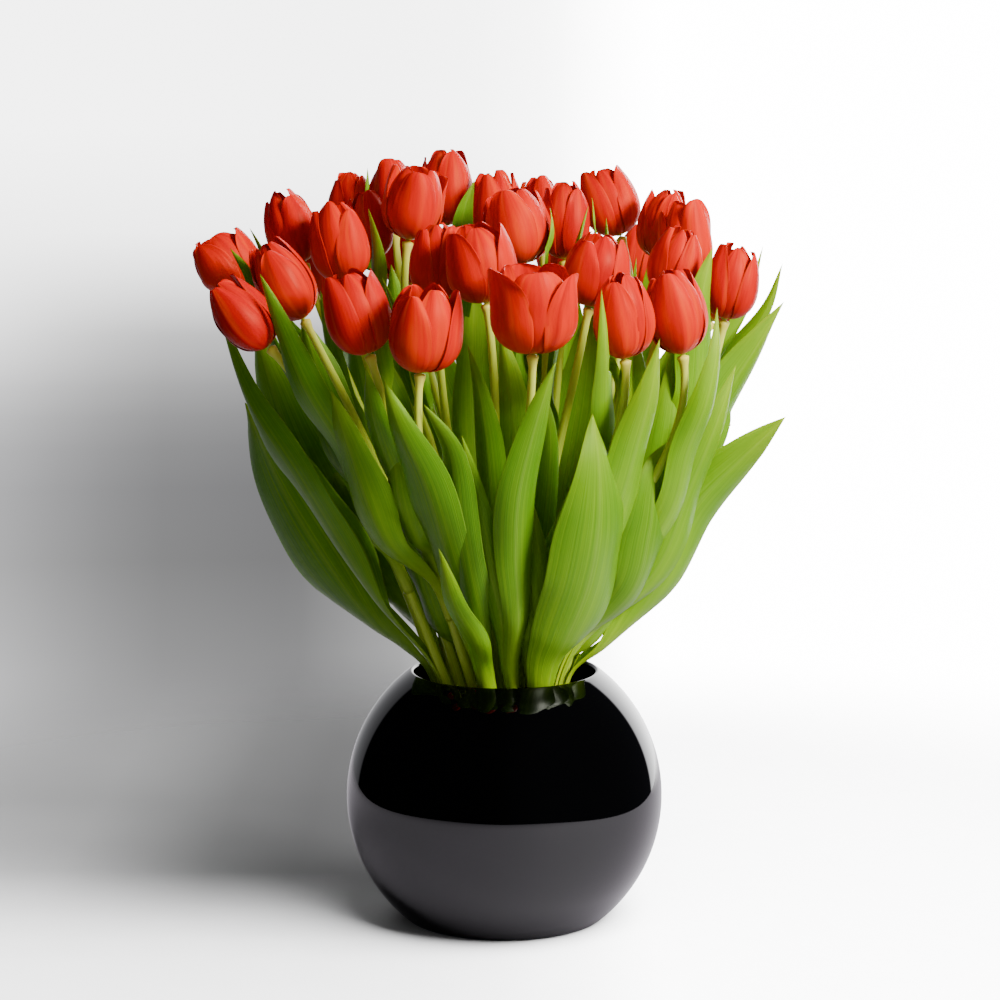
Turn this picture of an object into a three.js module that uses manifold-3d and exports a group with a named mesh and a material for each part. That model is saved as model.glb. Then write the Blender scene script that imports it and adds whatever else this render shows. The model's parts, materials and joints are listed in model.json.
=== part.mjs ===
// A bunch of cut tulips standing in water in a round glass vase.
// Millimetres. X runs to the right, Y away from the viewer and Z up.
// The origin is the centre of the vase's base, on the table.
import * as THREE from "three";
import { mergeVertices } from "three/addons/utils/BufferGeometryUtils.js";
import Module from "manifold-3d";

const wasm = await Module();
wasm.setup();

// ---- Driving dimensions ----

const GAP = 0.3; // air between pieces that touch
const SAME_CORNER = 1e-4; // corners nearer to each other than this are one
const LEAST_CROSSING = 1e-4; // stems whose common volume is less than this don't cross

// The vase: a ball of blown glass with a flat base and a round mouth.
const BALL_RADIUS = 100;
const BASE_RADIUS = 63.5;
const MOUTH_RADIUS = 60;
const GLASS = 3.5;
const FLOOR = 6;
const VASE_SIDES = 28;
const OUTSIDE_STEPS = 9; // facets from the base to the mouth
const INSIDE_STEPS = 6;
const LIP_CORNERS = 3;
const WATER_LEVEL = 112;
const WATER_SIDES = 14;
const WATER_STEPS = 4;
const FACET_SAG = 1.3; // the glass's flat facets stand this far inside its round wall
const BALL_HEIGHT = Math.sqrt(BALL_RADIUS ** 2 - BASE_RADIUS ** 2);
const MOUTH_HEIGHT = BALL_HEIGHT + Math.sqrt(BALL_RADIUS ** 2 - MOUTH_RADIUS ** 2);

// The stems: they stand askew on the vase's floor, pass the mouth and spread out above it.
const STEM_RADIUS = 3.7;
const STEM_SIDES = 4;
const STEM_STEPS = 5;
const HOLE_SIDES = 4; // the plain holes that the stems stand in, in the water
const HOLE_BELOW = 0.05; // how far a hole runs on below its stem's foot, against its length
const STEM_ROOM = 13; // from one stem's middle to the next in the mouth
const SETTLING_PASSES = 200;
const HALVINGS = 24; // of a curve, to find its point at a height
const MOUTH_REACH = 46.5; // the furthest that a stem stands from the middle of the mouth
const DRAWN_IN = new THREE.Vector2(3.9, 2.9); // how far the mouth draws the flowers' layout together
const FOOT_SWIRL = 0.8; // a foot's distance from the middle against its stem's in the mouth
const FOOT_HEIGHT = FLOOR + 1.4;

// The leaves.
const LEAF_THICKNESS = 1.2;
const LEAF_ROWS = 6;
const LEAF_FROM = 146; // the height at which a stem's uppermost leaf leaves it
const LEAF_BELOW = 10; // each further leaf starts this much lower, down in the vase
const LEAF_HUG = 24; // how far up from LEAF_FROM the leaves keep to their stem
const LEAF_OFF = 2.5; // how far off the stem they stand there
const LEAF_NEST = 3; // each further leaf stands this much further off, outside the last
const ROOT_WIDTH = 2.5;
const ROOT_ROLL = 0.9; // half the angle that the blade is rolled through, in radians
const TIP_ROLL = 0.55;
const BROADEST = 0.6; // where along its length a leaf is broadest
const BLOOM_CLEAR = 4; // a leaf gives way to a flower by this much
const BLOOM_FOOT = 0.12; // the lowest share of a flower's height whose radius a leaf gives way to

// The leaves of the tulips at the back and inside: their angles off straight outward, how far they
// stand off the stem low down, how much further at their tips, how high above the mouth they rise, and
// their width. These vary a little from tulip to tulip.
const OUTERMOST = 34; // a stem this far from the middle of the mouth stands outermost
const OUTER_LEAVES = [
  { aside: -0.4, off: 6, reach: 10, tall: 236, wide: 48 },
  { aside: 0.3, off: 13, reach: 30, tall: 180, wide: 46 },
];
const INNER_LEAVES = [{ aside: 0.2, off: 6, reach: 5, tall: 232, wide: 34 }];
const VARIED = { aside: 0.12, tall: 20, wide: 4 };
const WAYPOINT_SHARES = [0.4, 0.7, 1]; // of the leaf's rise above the mouth

// The petals.
const PETALS = 6; // of a flower, outer and inner ones by turns
const PETAL_THICKNESS = 1.2;
const PETAL_ROWS = 4;
const KNOB_HEIGHT = 4; // the knob at the flower's base that the petals grow from
const PETAL_SPREAD = 0.95; // half the angle that a petal covers round the flower, in radians
const LAYER = 1.3; // outer petals stand this far out from the cup's shape and inner ones as far in
const CUP_WIDEST = 0.42; // where up the flower it is widest
const PETAL_FOOT = 2.8; // how far from the flower's axis the petals start
const PETAL_START = 0.14; // the petal's outline is a half wave, entered this far along
const PETAL_BLUNTNESS = 0.5; // the power of that wave: the lower, the blunter the petal
const ROW_CROWDING = 1.25; // the petal's rows crowd towards its tip by this power
const SPIN = 2.4; // each flower is turned about its axis by this many radians from the last

// Each tulip: the base of its flower, the flower's length and radius, how wide its mouth is against
// that radius, and how many degrees it leans to the right and away from the viewer.
const TULIPS = [
  { at: [-162, -5, 397], long: 38, wide: 19, open: 0.85, lean: [-30, -4] },
  { at: [-139, -72, 366], long: 50, wide: 15.5, open: 0.6, lean: [-40, -8] },
  { at: [-120, -52, 381], long: 52, wide: 16, open: 0.55, lean: [-27, -6] },
  { at: [-125, 15, 412], long: 48, wide: 15.5, open: 0.6, lean: [-18, 0] },
  { at: [-96, -15, 401], long: 51, wide: 17, open: 0.7, lean: [-10, -2] },
  { at: [-97, 74, 425], long: 43, wide: 14.5, open: 0.6, lean: [-4, 8] },
  { at: [-79, -92, 363], long: 52, wide: 18, open: 0.75, lean: [-17, -6] },
  { at: [-49, -114, 354], long: 53, wide: 20.5, open: 0.75, lean: [6, -10] },
  { at: [-70, 60, 431], long: 46, wide: 15.5, open: 0.6, lean: [-3, 2] },
  { at: [-60, 8, 426], long: 47, wide: 18, open: 0.9, lean: [9, 0] },
  { at: [-37, 80, 433], long: 50, wide: 17, open: 0.7, lean: [-1, 5] },
  { at: [-80, 32, 413], long: 44, wide: 14, open: 0.6, lean: [-13, 3] },
  { at: [-41, -28, 391], long: 48, wide: 15.5, open: 0.65, lean: [0, -3] },
  { at: [-11, -60, 391], long: 48, wide: 20, open: 0.75, lean: [-9, -5] },
  { at: [-4, 56, 420], long: 50, wide: 16, open: 0.7, lean: [-3, 3] },
  { at: [12, 5, 411], long: 48, wide: 20, open: 0.8, lean: [-10, 0] },
  { at: [16, -115, 365], long: 53, wide: 24, open: 1.08, lean: [0, -10] },
  { at: [25, 82, 419], long: 47, wide: 14, open: 0.6, lean: [-4, 5] },
  { at: [38, 32, 413], long: 50, wide: 15, open: 0.7, lean: [1, 2] },
  { at: [75, 66, 427], long: 46, wide: 17, open: 0.7, lean: [-18, 4] },
  { at: [51, -30, 387], long: 46, wide: 19.5, open: 0.7, lean: [10, -4] },
  { at: [70, -102, 361], long: 51, wide: 17, open: 0.6, lean: [-5, -8] },
  { at: [105, -82, 362], long: 51, wide: 17, open: 0.6, lean: [-10, -5] },
  { at: [97, 38, 413], long: 46, wide: 14.5, open: 0.65, lean: [9, 1] },
  { at: [116, 5, 401], long: 51, wide: 16, open: 0.85, lean: [-7, 0] },
  { at: [99, -35, 393], long: 43, wide: 15, open: 0.6, lean: [12, -5] },
  { at: [134, -25, 379], long: 47, wide: 15.5, open: 0.6, lean: [9, -4] },
  { at: [110, 12, 287], long: 39, wide: 13, open: 0.6, lean: [38, -4] },
  { at: [-112, 112, 384], long: 48, wide: 16, open: 0.65, lean: [-20, 16] },
  { at: [-62, 128, 392], long: 49, wide: 17, open: 0.75, lean: [-9, 19] },
  { at: [-12, 134, 398], long: 50, wide: 16, open: 0.6, lean: [-2, 20] },
  { at: [38, 130, 394], long: 48, wide: 17, open: 0.7, lean: [7, 18] },
  { at: [86, 114, 388], long: 49, wide: 16, open: 0.6, lean: [14, 16] },
  { at: [134, 72, 372], long: 47, wide: 16, open: 0.65, lean: [24, 12] },
];

// Each leaf that was placed by hand: its tulip, its width, how far it is turned about its own length
// in degrees, and the points that its midrib passes after it has left the stem. A leaf that leaves its
// stem elsewhere than the rest has the height where it does.
const PLACED_LEAVES = [
  { of: 1, wide: 66, turn: 60, from: 136,
    path: [[-65, 1, 172], [-83, 4, 187], [-110, 8, 223], [-142, 12, 277], [-162, 0, 327]] },
  { of: 1, wide: 14, turn: 30, from: 318, path: [[-147, -32, 375], [-156, -36, 408], [-166, -36, 424]] },
  { of: 4, wide: 14, turn: 30, from: 318, path: [[-143, 10, 385], [-152, 14, 420], [-159, 14, 435]] },
  { of: 2, wide: 36, turn: 30,
    path: [[-80, -28, 207], [-125, -42, 283], [-155, -38, 332], [-174, -25, 381]] },
  { of: 4, wide: 58, turn: 50, path: [[-98, 22, 225], [-134, 29, 297], [-158, 16, 374]] },
  { of: 2, wide: 27, turn: 20, from: 212,
    path: [[-77, -52, 246], [-95, -72, 302], [-118, -86, 345], [-143, -90, 411]] },
  { of: 3, wide: 32, turn: 50, from: 226, path: [[-94, -22, 286], [-108, -28, 331], [-124, -30, 384]] },
  { of: 4, wide: 20, turn: 40, from: 270, path: [[-100, 10, 330], [-110, 12, 362], [-115, 12, 396]] },
  { of: 4, wide: 44, turn: 50, path: [[-52, 10, 180], [-72, 14, 206], [-98, 20, 246], [-116, 24, 290]] },
  { of: 5, wide: 28, turn: 10, path: [[-40, -26, 188], [-52, -36, 224], [-64, -42, 268]] },
  { of: 5, wide: 18, turn: 40, from: 300,
    path: [[-77, -18, 361], [-79, -10, 397], [-80, -4, 425], [-84, 0, 447]] },
  { of: 7, wide: 32, turn: 15, from: 196, path: [[-70, -72, 248], [-91, -86, 307], [-102, -94, 343]] },
  { of: 7, wide: 23, turn: 0, from: 236, path: [[-66, -84, 292], [-76, -98, 326], [-81, -108, 358]] },
  { of: 7, wide: 25, turn: 0, from: 216, path: [[-54, -70, 250], [-62, -84, 277], [-66, -92, 316]] },
  { of: 8, wide: 34, turn: 0,
    path: [[-33, -84, 241], [-47, -104, 291], [-60, -114, 322], [-70, -116, 351]] },
  { of: 8, wide: 28, turn: 0,
    path: [[-22, -82, 228], [-28, -96, 267], [-32, -108, 309], [-47, -114, 337]] },
  { of: 8, wide: 18, turn: 0, path: [[-18, -72, 189], [-30, -88, 215], [-39, -97, 250]] },
  { of: 9, wide: 12, turn: 0, from: 330, path: [[-76, 40, 388], [-87, 46, 440], [-87, 50, 472]] },
  { of: 9, wide: 40, turn: 90, path: [[-44, 16, 200], [-60, 24, 245], [-74, 30, 310]] },
  { of: 10, wide: 20, turn: 90, from: 280, path: [[-56, 12, 340], [-66, 18, 376], [-71, 18, 412]] },
  { of: 11, wide: 20, turn: 0, from: 330, path: [[-29, 40, 389], [-26, 38, 442], [-19, 38, 464]] },
  { of: 12, wide: 40, turn: 80, path: [[-54, 22, 225], [-80, 30, 300], [-100, 34, 386]] },
  { of: 13, wide: 14, turn: 0, from: 270, path: [[-50, -38, 330], [-64, -42, 380], [-74, -42, 407]] },
  { of: 14, wide: 21, turn: 0, path: [[-8, -60, 281], [-14, -72, 336], [-22, -72, 368]] },
  { of: 14, wide: 28, turn: 0, path: [[6, -40, 284], [4, -42, 339], [-3, -38, 378]] },
  { of: 15, wide: 36, turn: 0, path: [[-14, 40, 250], [-20, 50, 320], [-19, 56, 402]] },
  { of: 16, wide: 26, turn: 0, from: 240, path: [[14, -2, 300], [13, -6, 338], [11, -8, 376]] },
  { of: 16, wide: 10, turn: 0, from: 310, path: [[20, -12, 367], [26, -8, 416], [26, 0, 448]] },
  { of: 17, wide: 20, turn: 0,
    path: [[-2, -70, 202], [-12, -88, 248], [-19, -99, 285], [-25, -108, 318]] },
  { of: 17, wide: 26, turn: 0,
    path: [[8, -74, 202], [6, -94, 247], [8, -110, 285], [18, -122, 328], [29, -130, 363]] },
  { of: 19, wide: 36, turn: 50, path: [[34, 20, 250], [47, 30, 320], [57, 38, 392]] },
  { of: 21, wide: 22, turn: 0, from: 270, path: [[28, -12, 330], [41, -2, 405], [52, 2, 449]] },
  { of: 20, wide: 12, turn: 0, from: 310, path: [[56, 40, 370], [57, 28, 430], [52, 30, 454]] },
  { of: 20, wide: 12, turn: 0, from: 330, path: [[66, 30, 390], [65, 30, 427], [64, 30, 441]] },
  { of: 22, wide: 21, turn: 0, path: [[19, -60, 189], [18, -68, 221], [13, -72, 247]] },
  { of: 22, wide: 16, turn: 0, path: [[24, -66, 200], [24, -74, 221], [19, -78, 252], [16, -78, 277]] },
  { of: 21, wide: 16, turn: 0, path: [[24, -50, 261], [27, -60, 316], [21, -60, 346]] },
  { of: 22, wide: 21, turn: 0,
    path: [[57, -86, 308], [58, -106, 345], [57, -124, 375], [55, -126, 404]] },
  { of: 22, wide: 36, turn: 0,
    path: [[66, -84, 270], [77, -100, 314], [84, -111, 344], [89, -118, 375]] },
  { of: 22, wide: 56, turn: 0,
    path: [[36, -68, 189], [48, -84, 223], [54, -100, 261], [54, -108, 298], [51, -106, 331]] },
  { of: 23, wide: 36, turn: -20,
    path: [[77, -54, 218], [86, -66, 256], [90, -70, 293], [98, -60, 309]] },
  { of: 23, wide: 24, turn: -20,
    path: [[98, -62, 265], [108, -78, 306], [118, -88, 336], [124, -86, 366], [125, -80, 391]] },
  { of: 23, wide: 30, turn: -40,
    path: [[92, -42, 228], [112, -54, 282], [126, -60, 319], [139, -56, 355]] },
  { of: 24, wide: 18, turn: -30, from: 300, path: [[86, 20, 360], [90, 10, 400], [93, 8, 421]] },
  { of: 24, wide: 12, turn: -30, from: 310, path: [[80, 22, 366], [81, 12, 391], [82, 8, 417]] },
  { of: 25, wide: 16, turn: -50,
    path: [[98, 22, 300], [128, 12, 350], [152, 12, 388], [161, 10, 424]] },
  { of: 25, wide: 18, turn: -80,
    path: [[102, 34, 300], [136, 28, 345], [164, 16, 384], [173, 8, 413]] },
  { of: 26, wide: 38, turn: -30, from: 136,
    path: [[54, -24, 180], [68, -32, 206], [88, -38, 244], [104, -42, 290]] },
  { of: 26, wide: 16, turn: -20, from: 250, path: [[82, -46, 310], [81, -58, 355], [76, -60, 376]] },
  { of: 26, wide: 32, turn: -45, path: [[89, -36, 258], [101, -42, 317], [104, -42, 374]] },
  { of: 27, wide: 42, turn: -50, from: 136,
    path: [[62, -15, 174], [78, -19, 191], [97, -26, 221], [115, -32, 264], [143, -36, 295],
      [171, -40, 322]] },
  { of: 27, wide: 38, turn: -60,
    path: [[108, -8, 275], [133, -8, 328], [155, -6, 362], [173, -4, 390]] },
  { of: 27, wide: 28, turn: -30, from: 250,
    path: [[113, -40, 332], [116, -50, 369], [118, -56, 400], [124, -56, 425]] },
  { of: 28, wide: 30, turn: -20, path: [[78, 36, 250], [104, 50, 318], [124, 56, 366]] },
  { of: 28, wide: 34, turn: -20, path: [[76, 36, 222], [115, 46, 284], [150, 50, 336]] },
  { of: 34, wide: 34, turn: 0, path: [[66, 60, 240], [92, 84, 304], [110, 100, 356]] },
  { of: 34, wide: 38, turn: 0, path: [[84, 58, 240], [122, 74, 304], [156, 84, 350]] },
];

// ---- Solids: closing, joining and naming ----

// A closed geometry as a solid, its shared corners merged and its empty triangles dropped.
function solidOf(geometry) {
  geometry.deleteAttribute("normal");
  geometry.deleteAttribute("uv");
  const merged = mergeVertices(geometry, SAME_CORNER);
  const corners = merged.index.array;
  const kept = [];
  for (let i = 0; i < corners.length; i += 3) {
    const [a, b, c] = [corners[i], corners[i + 1], corners[i + 2]];
    if (a !== b && b !== c && c !== a) kept.push(a, b, c);
  }
  return new wasm.Manifold(
    new wasm.Mesh({
      numProp: 3,
      vertProperties: new Float32Array(merged.attributes.position.array),
      triVerts: new Uint32Array(kept),
    }),
  );
}

// The solid's one outer body: a hollow that joining sealed is filled, and a loose scrap is dropped.
function wholeOf(solid) {
  return solid.decompose().reduce((most, body) => (body.volume() > most.volume() ? body : most));
}

function meshOf(name, solid, material) {
  const { vertProperties, triVerts } = solid.getMesh();
  const geometry = new THREE.BufferGeometry();
  geometry.setAttribute("position", new THREE.BufferAttribute(vertProperties, 3));
  geometry.setIndex(new THREE.BufferAttribute(triVerts, 1));
  geometry.computeVertexNormals();
  const mesh = new THREE.Mesh(geometry, material);
  mesh.name = name;
  return mesh;
}

// The corners of a thin blade's two faces, row by row. middle(v, s) is its middle surface, for v from
// root to tip and s from -1 to 1 across, and rowAt places the rows from root to tip. The thickness
// falls to nothing at both edges and at the tip.
function bladeFaces(rows, thickness, middle, rowAt = (share) => share) {
  const step = 1e-3;
  const faceOf = (side) =>
    Array.from({ length: rows + 1 }, (_, row) =>
      [-1, 0, 1].map((s) => {
        const v = rowAt(row / rows);
        const half = s === 0 && row < rows ? thickness / 2 : 0;
        const along = middle(Math.min(v + step, 1), s).sub(middle(Math.max(v - step, 0), s));
        const across = middle(v, s + step).sub(middle(v, s - step));
        const lift = along.cross(across).normalize().multiplyScalar(side * half);
        return middle(v, s).add(lift);
      }),
    );
  return { front: faceOf(1), back: faceOf(-1) };
}

// Triangles between the rows of one face; the back face is turned the other way round.
function faceTriangles(face, back) {
  const triangles = [];
  const add = (a, b, c) => triangles.push(back ? [a, c, b] : [a, b, c]);
  for (let row = 1; row < face.length; row++) {
    for (const column of [0, 1]) {
      const [a, b] = [face[row - 1][column], face[row - 1][column + 1]];
      const [c, d] = [face[row][column], face[row][column + 1]];
      add(a, c, b);
      add(b, c, d);
    }
  }
  return triangles;
}

function solidOfTriangles(triangles) {
  const corners = triangles.flat().flatMap((corner) => corner.toArray());
  const geometry = new THREE.BufferGeometry();
  geometry.setAttribute("position", new THREE.Float32BufferAttribute(corners, 3));
  return solidOf(geometry);
}

// ---- The vase and the water ----

// A profile of [radius, height] points from the bottom of the axis to its top, turned about Z.
function turned(profile, sides) {
  const points = profile.map(([radius, height]) => new THREE.Vector2(radius, height));
  const geometry = new THREE.LatheGeometry(points, sides);
  geometry.rotateX(Math.PI / 2);
  return geometry;
}

// Points on an arc about the ball's centre, from one height to another.
function ballArc(radius, fromHeight, toHeight, steps) {
  const start = Math.asin((fromHeight - BALL_HEIGHT) / radius);
  const end = Math.asin((toHeight - BALL_HEIGHT) / radius);
  return Array.from({ length: steps + 1 }, (_, i) => {
    const angle = start + ((end - start) * i) / steps;
    return [radius * Math.cos(angle), BALL_HEIGHT + radius * Math.sin(angle)];
  });
}

function vaseSolid() {
  const inner = BALL_RADIUS - GLASS;
  const innerMouth = BALL_HEIGHT + (MOUTH_HEIGHT - BALL_HEIGHT) * (inner / BALL_RADIUS);
  const outside = ballArc(BALL_RADIUS, 0, MOUTH_HEIGHT, OUTSIDE_STEPS);
  const inside = ballArc(inner, FLOOR, innerMouth, INSIDE_STEPS).reverse();
  const lipAngle = Math.asin((MOUTH_HEIGHT - BALL_HEIGHT) / BALL_RADIUS);
  const lipRadius = BALL_RADIUS - GLASS / 2;
  const lip = Array.from({ length: LIP_CORNERS }, (_, i) => {
    const round = lipAngle + (Math.PI * (i + 1)) / (LIP_CORNERS + 1);
    return [
      lipRadius * Math.cos(lipAngle) + (GLASS / 2) * Math.cos(round),
      BALL_HEIGHT + lipRadius * Math.sin(lipAngle) + (GLASS / 2) * Math.sin(round),
    ];
  });
  return solidOf(turned([[0, 0], ...outside, ...lip, ...inside, [0, FLOOR]], VASE_SIDES));
}

// The water fills the bowl to its level, with a plain hole for each stem.
function waterSolid(tulips) {
  const radius = BALL_RADIUS - GLASS - FACET_SAG - GAP;
  const side = ballArc(radius, FLOOR + GAP, WATER_LEVEL, WATER_STEPS);
  const body = solidOf(turned([[0, FLOOR + GAP], ...side, [0, WATER_LEVEL]], WATER_SIDES));
  return tulips.reduce((left, tulip) => left.subtract(holeFor(tulip)), body);
}

function holeFor(tulip) {
  const { foot, mouth } = tulip;
  const below = foot.clone().lerp(mouth, -HOLE_BELOW);
  const radius = (STEM_RADIUS + GAP) / Math.cos(Math.PI / HOLE_SIDES);
  return rod(new THREE.LineCurve3(below, mouth), radius, HOLE_SIDES, 1);
}

// ---- Stems ----

// Where the stems pass the mouth: the flowers' layout from above, drawn together, from where each
// stem edges away from its neighbours until all have room.
function mouthPoints() {
  const points = TULIPS.map(({ at }) => new THREE.Vector2(at[0], at[1]).divide(DRAWN_IN));
  for (let pass = 0; pass < SETTLING_PASSES; pass++) {
    points.forEach((point, i) => {
      points.slice(i + 1).forEach((other) => {
        const apart = other.clone().sub(point);
        const short = STEM_ROOM - apart.length();
        if (short <= 0) return;
        apart.setLength(short / 2);
        other.add(apart);
        point.sub(apart);
      });
    });
    points.forEach((point) => point.clampLength(0, MOUTH_REACH));
  }
  return points;
}

// The stem's middle line: straight from its foot to the mouth, then one easy bend to the flower.
function stemCurve(foot, mouth, top, axis) {
  const reach = mouth.distanceTo(top) / 3;
  const rise = mouth.clone().sub(foot).setLength(reach);
  const curve = new THREE.CurvePath();
  curve.add(new THREE.LineCurve3(foot, mouth));
  const leaving = mouth.clone().add(rise);
  const arriving = top.clone().addScaledVector(axis, -reach);
  curve.add(new THREE.CubicBezierCurve3(mouth, leaving, arriving, top));
  return curve;
}

function rod(curve, radius, sides, steps) {
  const corners = Array.from({ length: sides }, (_, i) => {
    const angle = (2 * Math.PI * i) / sides;
    return new THREE.Vector2(radius * Math.cos(angle), radius * Math.sin(angle));
  });
  const section = new THREE.Shape(corners);
  return solidOf(new THREE.ExtrudeGeometry(section, { steps, extrudePath: curve }));
}

// The point of a stem at a height.
function pointAtHeight(curve, height) {
  let [low, high] = [0, 1];
  for (let halving = 0; halving < HALVINGS; halving++) {
    const middle = (low + high) / 2;
    if (curve.getPoint(middle).z < height) low = middle;
    else high = middle;
  }
  return curve.getPoint(low);
}

// ---- Flowers ----

// The flower's own directions: its axis and two across it, turned so that no two flowers look alike.
function bloomFrame(lean, spin) {
  const [right, back] = lean.map(THREE.MathUtils.degToRad);
  const axis = new THREE.Vector3(Math.tan(right), Math.tan(back), 1).normalize();
  const across = new THREE.Vector3(0, 1, 0).cross(axis).normalize().applyAxisAngle(axis, spin);
  return { axis, across, over: axis.clone().cross(across) };
}

// The cup's radius at a share of its height: a quarter of an ellipse below its widest place, and a
// parabola above it that ends at the flower's mouth.
function cupRadius({ wide, open }, height) {
  if (height < CUP_WIDEST) {
    return wide * Math.sqrt(Math.max(0, 1 - (1 - height / CUP_WIDEST) ** 2));
  }
  return wide * (1 - (1 - open) * ((height - CUP_WIDEST) / (1 - CUP_WIDEST)) ** 2);
}

// A petal follows the cup from the flower's base to its mouth, and moves a layer's distance off it as
// it leaves the base. At its foot it takes a sixth of the way round, and at its tip it is a point.
function petal(tulip, angle, layer) {
  const { base, axis, across, over, long, wide } = tulip;
  const footTurn = Math.asin(PETAL_FOOT / wide) / Math.PI;
  const rowAt = (share) => 1 - (1 - share) ** ROW_CROWDING;
  const middle = (v, s) => {
    const turn = THREE.MathUtils.lerp(footTurn, 1, v);
    const slope = Math.PI * Math.min(turn, 0.5);
    const above = Math.max(0, 2 * turn - 1);
    const height = CUP_WIDEST * (1 - Math.cos(slope)) + (1 - CUP_WIDEST) * above;
    const open = Math.min(1, v * PETAL_ROWS);
    const wave = Math.sin(Math.PI * THREE.MathUtils.lerp(PETAL_START, 1, v));
    const full = PETAL_SPREAD * wave ** PETAL_BLUNTNESS;
    const round = angle + s * THREE.MathUtils.lerp(Math.PI / PETALS, full, open);
    const off = layer * open;
    const radius = cupRadius(tulip, height) + off * Math.sin(slope);
    return base
      .clone()
      .addScaledVector(axis, KNOB_HEIGHT / 2 + long * height - off * Math.cos(slope))
      .addScaledVector(across, radius * Math.cos(round))
      .addScaledVector(over, radius * Math.sin(round));
  };
  return bladeFaces(PETAL_ROWS, PETAL_THICKNESS, middle, rowAt);
}

// Three outer petals with three inner ones behind the gaps between them. Their feet meet in a ring,
// which a low knob closes: one fan of triangles below, to the flower's base, and one above.
function bloomSolid(tulip) {
  const bottom = tulip.base;
  const top = bottom.clone().addScaledVector(tulip.axis, KNOB_HEIGHT);
  const triangles = [];
  for (let place = 0; place < PETALS; place++) {
    const layer = place % 2 ? -LAYER : LAYER;
    const { front, back } = petal(tulip, (2 * Math.PI * place) / PETALS, layer);
    triangles.push(...faceTriangles(front, false), ...faceTriangles(back, true));
    for (const side of [0, 1]) {
      triangles.push([top, front[0][side], front[0][side + 1]]);
      triangles.push([bottom, back[0][side + 1], back[0][side]]);
    }
  }
  return solidOfTriangles(triangles);
}

// ---- Leaves ----

// A point that would lie in a flower is moved out of it, straight away from the flower's axis.
function clearOfBlooms(point, tulips) {
  for (const tulip of tulips) {
    const from = point.clone().sub(tulip.base);
    const height = from.dot(tulip.axis);
    if (height < -BLOOM_CLEAR || height > tulip.long + BLOOM_CLEAR) continue;
    const out = from.addScaledVector(tulip.axis, -height);
    const share = THREE.MathUtils.clamp(height / tulip.long, BLOOM_FOOT, 1);
    const least = cupRadius(tulip, share) + LAYER + BLOOM_CLEAR;
    if (out.length() < least) point.addScaledVector(out.clone().normalize(), least - out.length());
  }
  return point;
}

// A leaf is a strip rolled round its midrib: closely at the root, where it clasps the stem, and less
// towards the tip. Its width grows from the root to the broadest place and falls to nothing at the tip.
function leafSolid(tulips, { of, wide, turn, from = LEAF_FROM, path }, nested) {
  const stem = tulips[of - 1].curve;
  const waypoints = path.map((point) => new THREE.Vector3(...point));
  const first = waypoints[0];
  const tip = waypoints.at(-1);
  const outward = first.clone().sub(pointAtHeight(stem, first.z)).setZ(0).normalize();
  const off = STEM_RADIUS + LEAF_OFF + nested * LEAF_NEST;
  const start = pointAtHeight(stem, from - nested * LEAF_BELOW);
  const hug = pointAtHeight(stem, from + LEAF_HUG).addScaledVector(outward, off);
  const spine = new THREE.CatmullRomCurve3([start, hug, ...waypoints], false, "centripetal");
  const facing = new THREE.Vector3(tip.x, tip.y, 0).normalize();
  facing.applyAxisAngle(new THREE.Vector3(0, 0, 1), THREE.MathUtils.degToRad(turn));
  const { front, back: under } = bladeFaces(LEAF_ROWS, LEAF_THICKNESS, (v, s) => {
    const tangent = spine.getTangentAt(v);
    const rising = THREE.MathUtils.smoothstep(v, 0, BROADEST);
    const back = outward.clone().lerp(facing, rising);
    back.addScaledVector(tangent, -back.dot(tangent)).normalize();
    const across = tangent.clone().cross(back);
    const falling = 1 - Math.max(0, (v - BROADEST) / (1 - BROADEST)) ** 2;
    const width = THREE.MathUtils.lerp(ROOT_WIDTH, wide, rising) * falling;
    const roll = THREE.MathUtils.lerp(ROOT_ROLL, TIP_ROLL, rising);
    const radius = width / (2 * roll);
    const point = spine
      .getPointAt(v)
      .addScaledVector(across, radius * Math.sin(s * roll))
      .addScaledVector(back, -radius * (1 - Math.cos(s * roll)));
    return clearOfBlooms(point, tulips);
  });
  const root = [
    [front[0][0], front[0][1], under[0][1]],
    [front[0][1], front[0][2], under[0][1]],
  ];
  return solidOfTriangles([...faceTriangles(front, false), ...faceTriangles(under, true), ...root]);
}

// Tulips with no leaf placed by hand. One that stands outermost has a broad leaf to either side of it,
// and one inside the bunch has a slim leaf close to its stem.
function furtherLeaves(tulips) {
  const leaves = [];
  tulips.forEach((tulip, index) => {
    const of = index + 1;
    if (PLACED_LEAVES.some((leaf) => leaf.of === of)) return;
    const outermost = tulip.mouth.clone().setZ(0).length() > OUTERMOST;
    const outward = Math.atan2(tulip.mouth.y, tulip.mouth.x);
    const kinds = outermost ? OUTER_LEAVES : INNER_LEAVES;
    kinds.forEach(({ aside, off, reach, tall, wide }, kind) => {
      const vary = Math.sin(5 * of + 2 * kind);
      const angle = outward + aside + VARIED.aside * vary;
      const path = WAYPOINT_SHARES.map((share) => {
        const height = MOUTH_HEIGHT + share * (tall + VARIED.tall * vary);
        const point = pointAtHeight(tulip.curve, height);
        const out = off + reach * share * share;
        return [point.x + out * Math.cos(angle), point.y + out * Math.sin(angle), height];
      });
      leaves.push({ of, wide: wide + VARIED.wide * vary, turn: 0, path });
    });
  });
  return leaves;
}

// ---- The bunch ----

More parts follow.
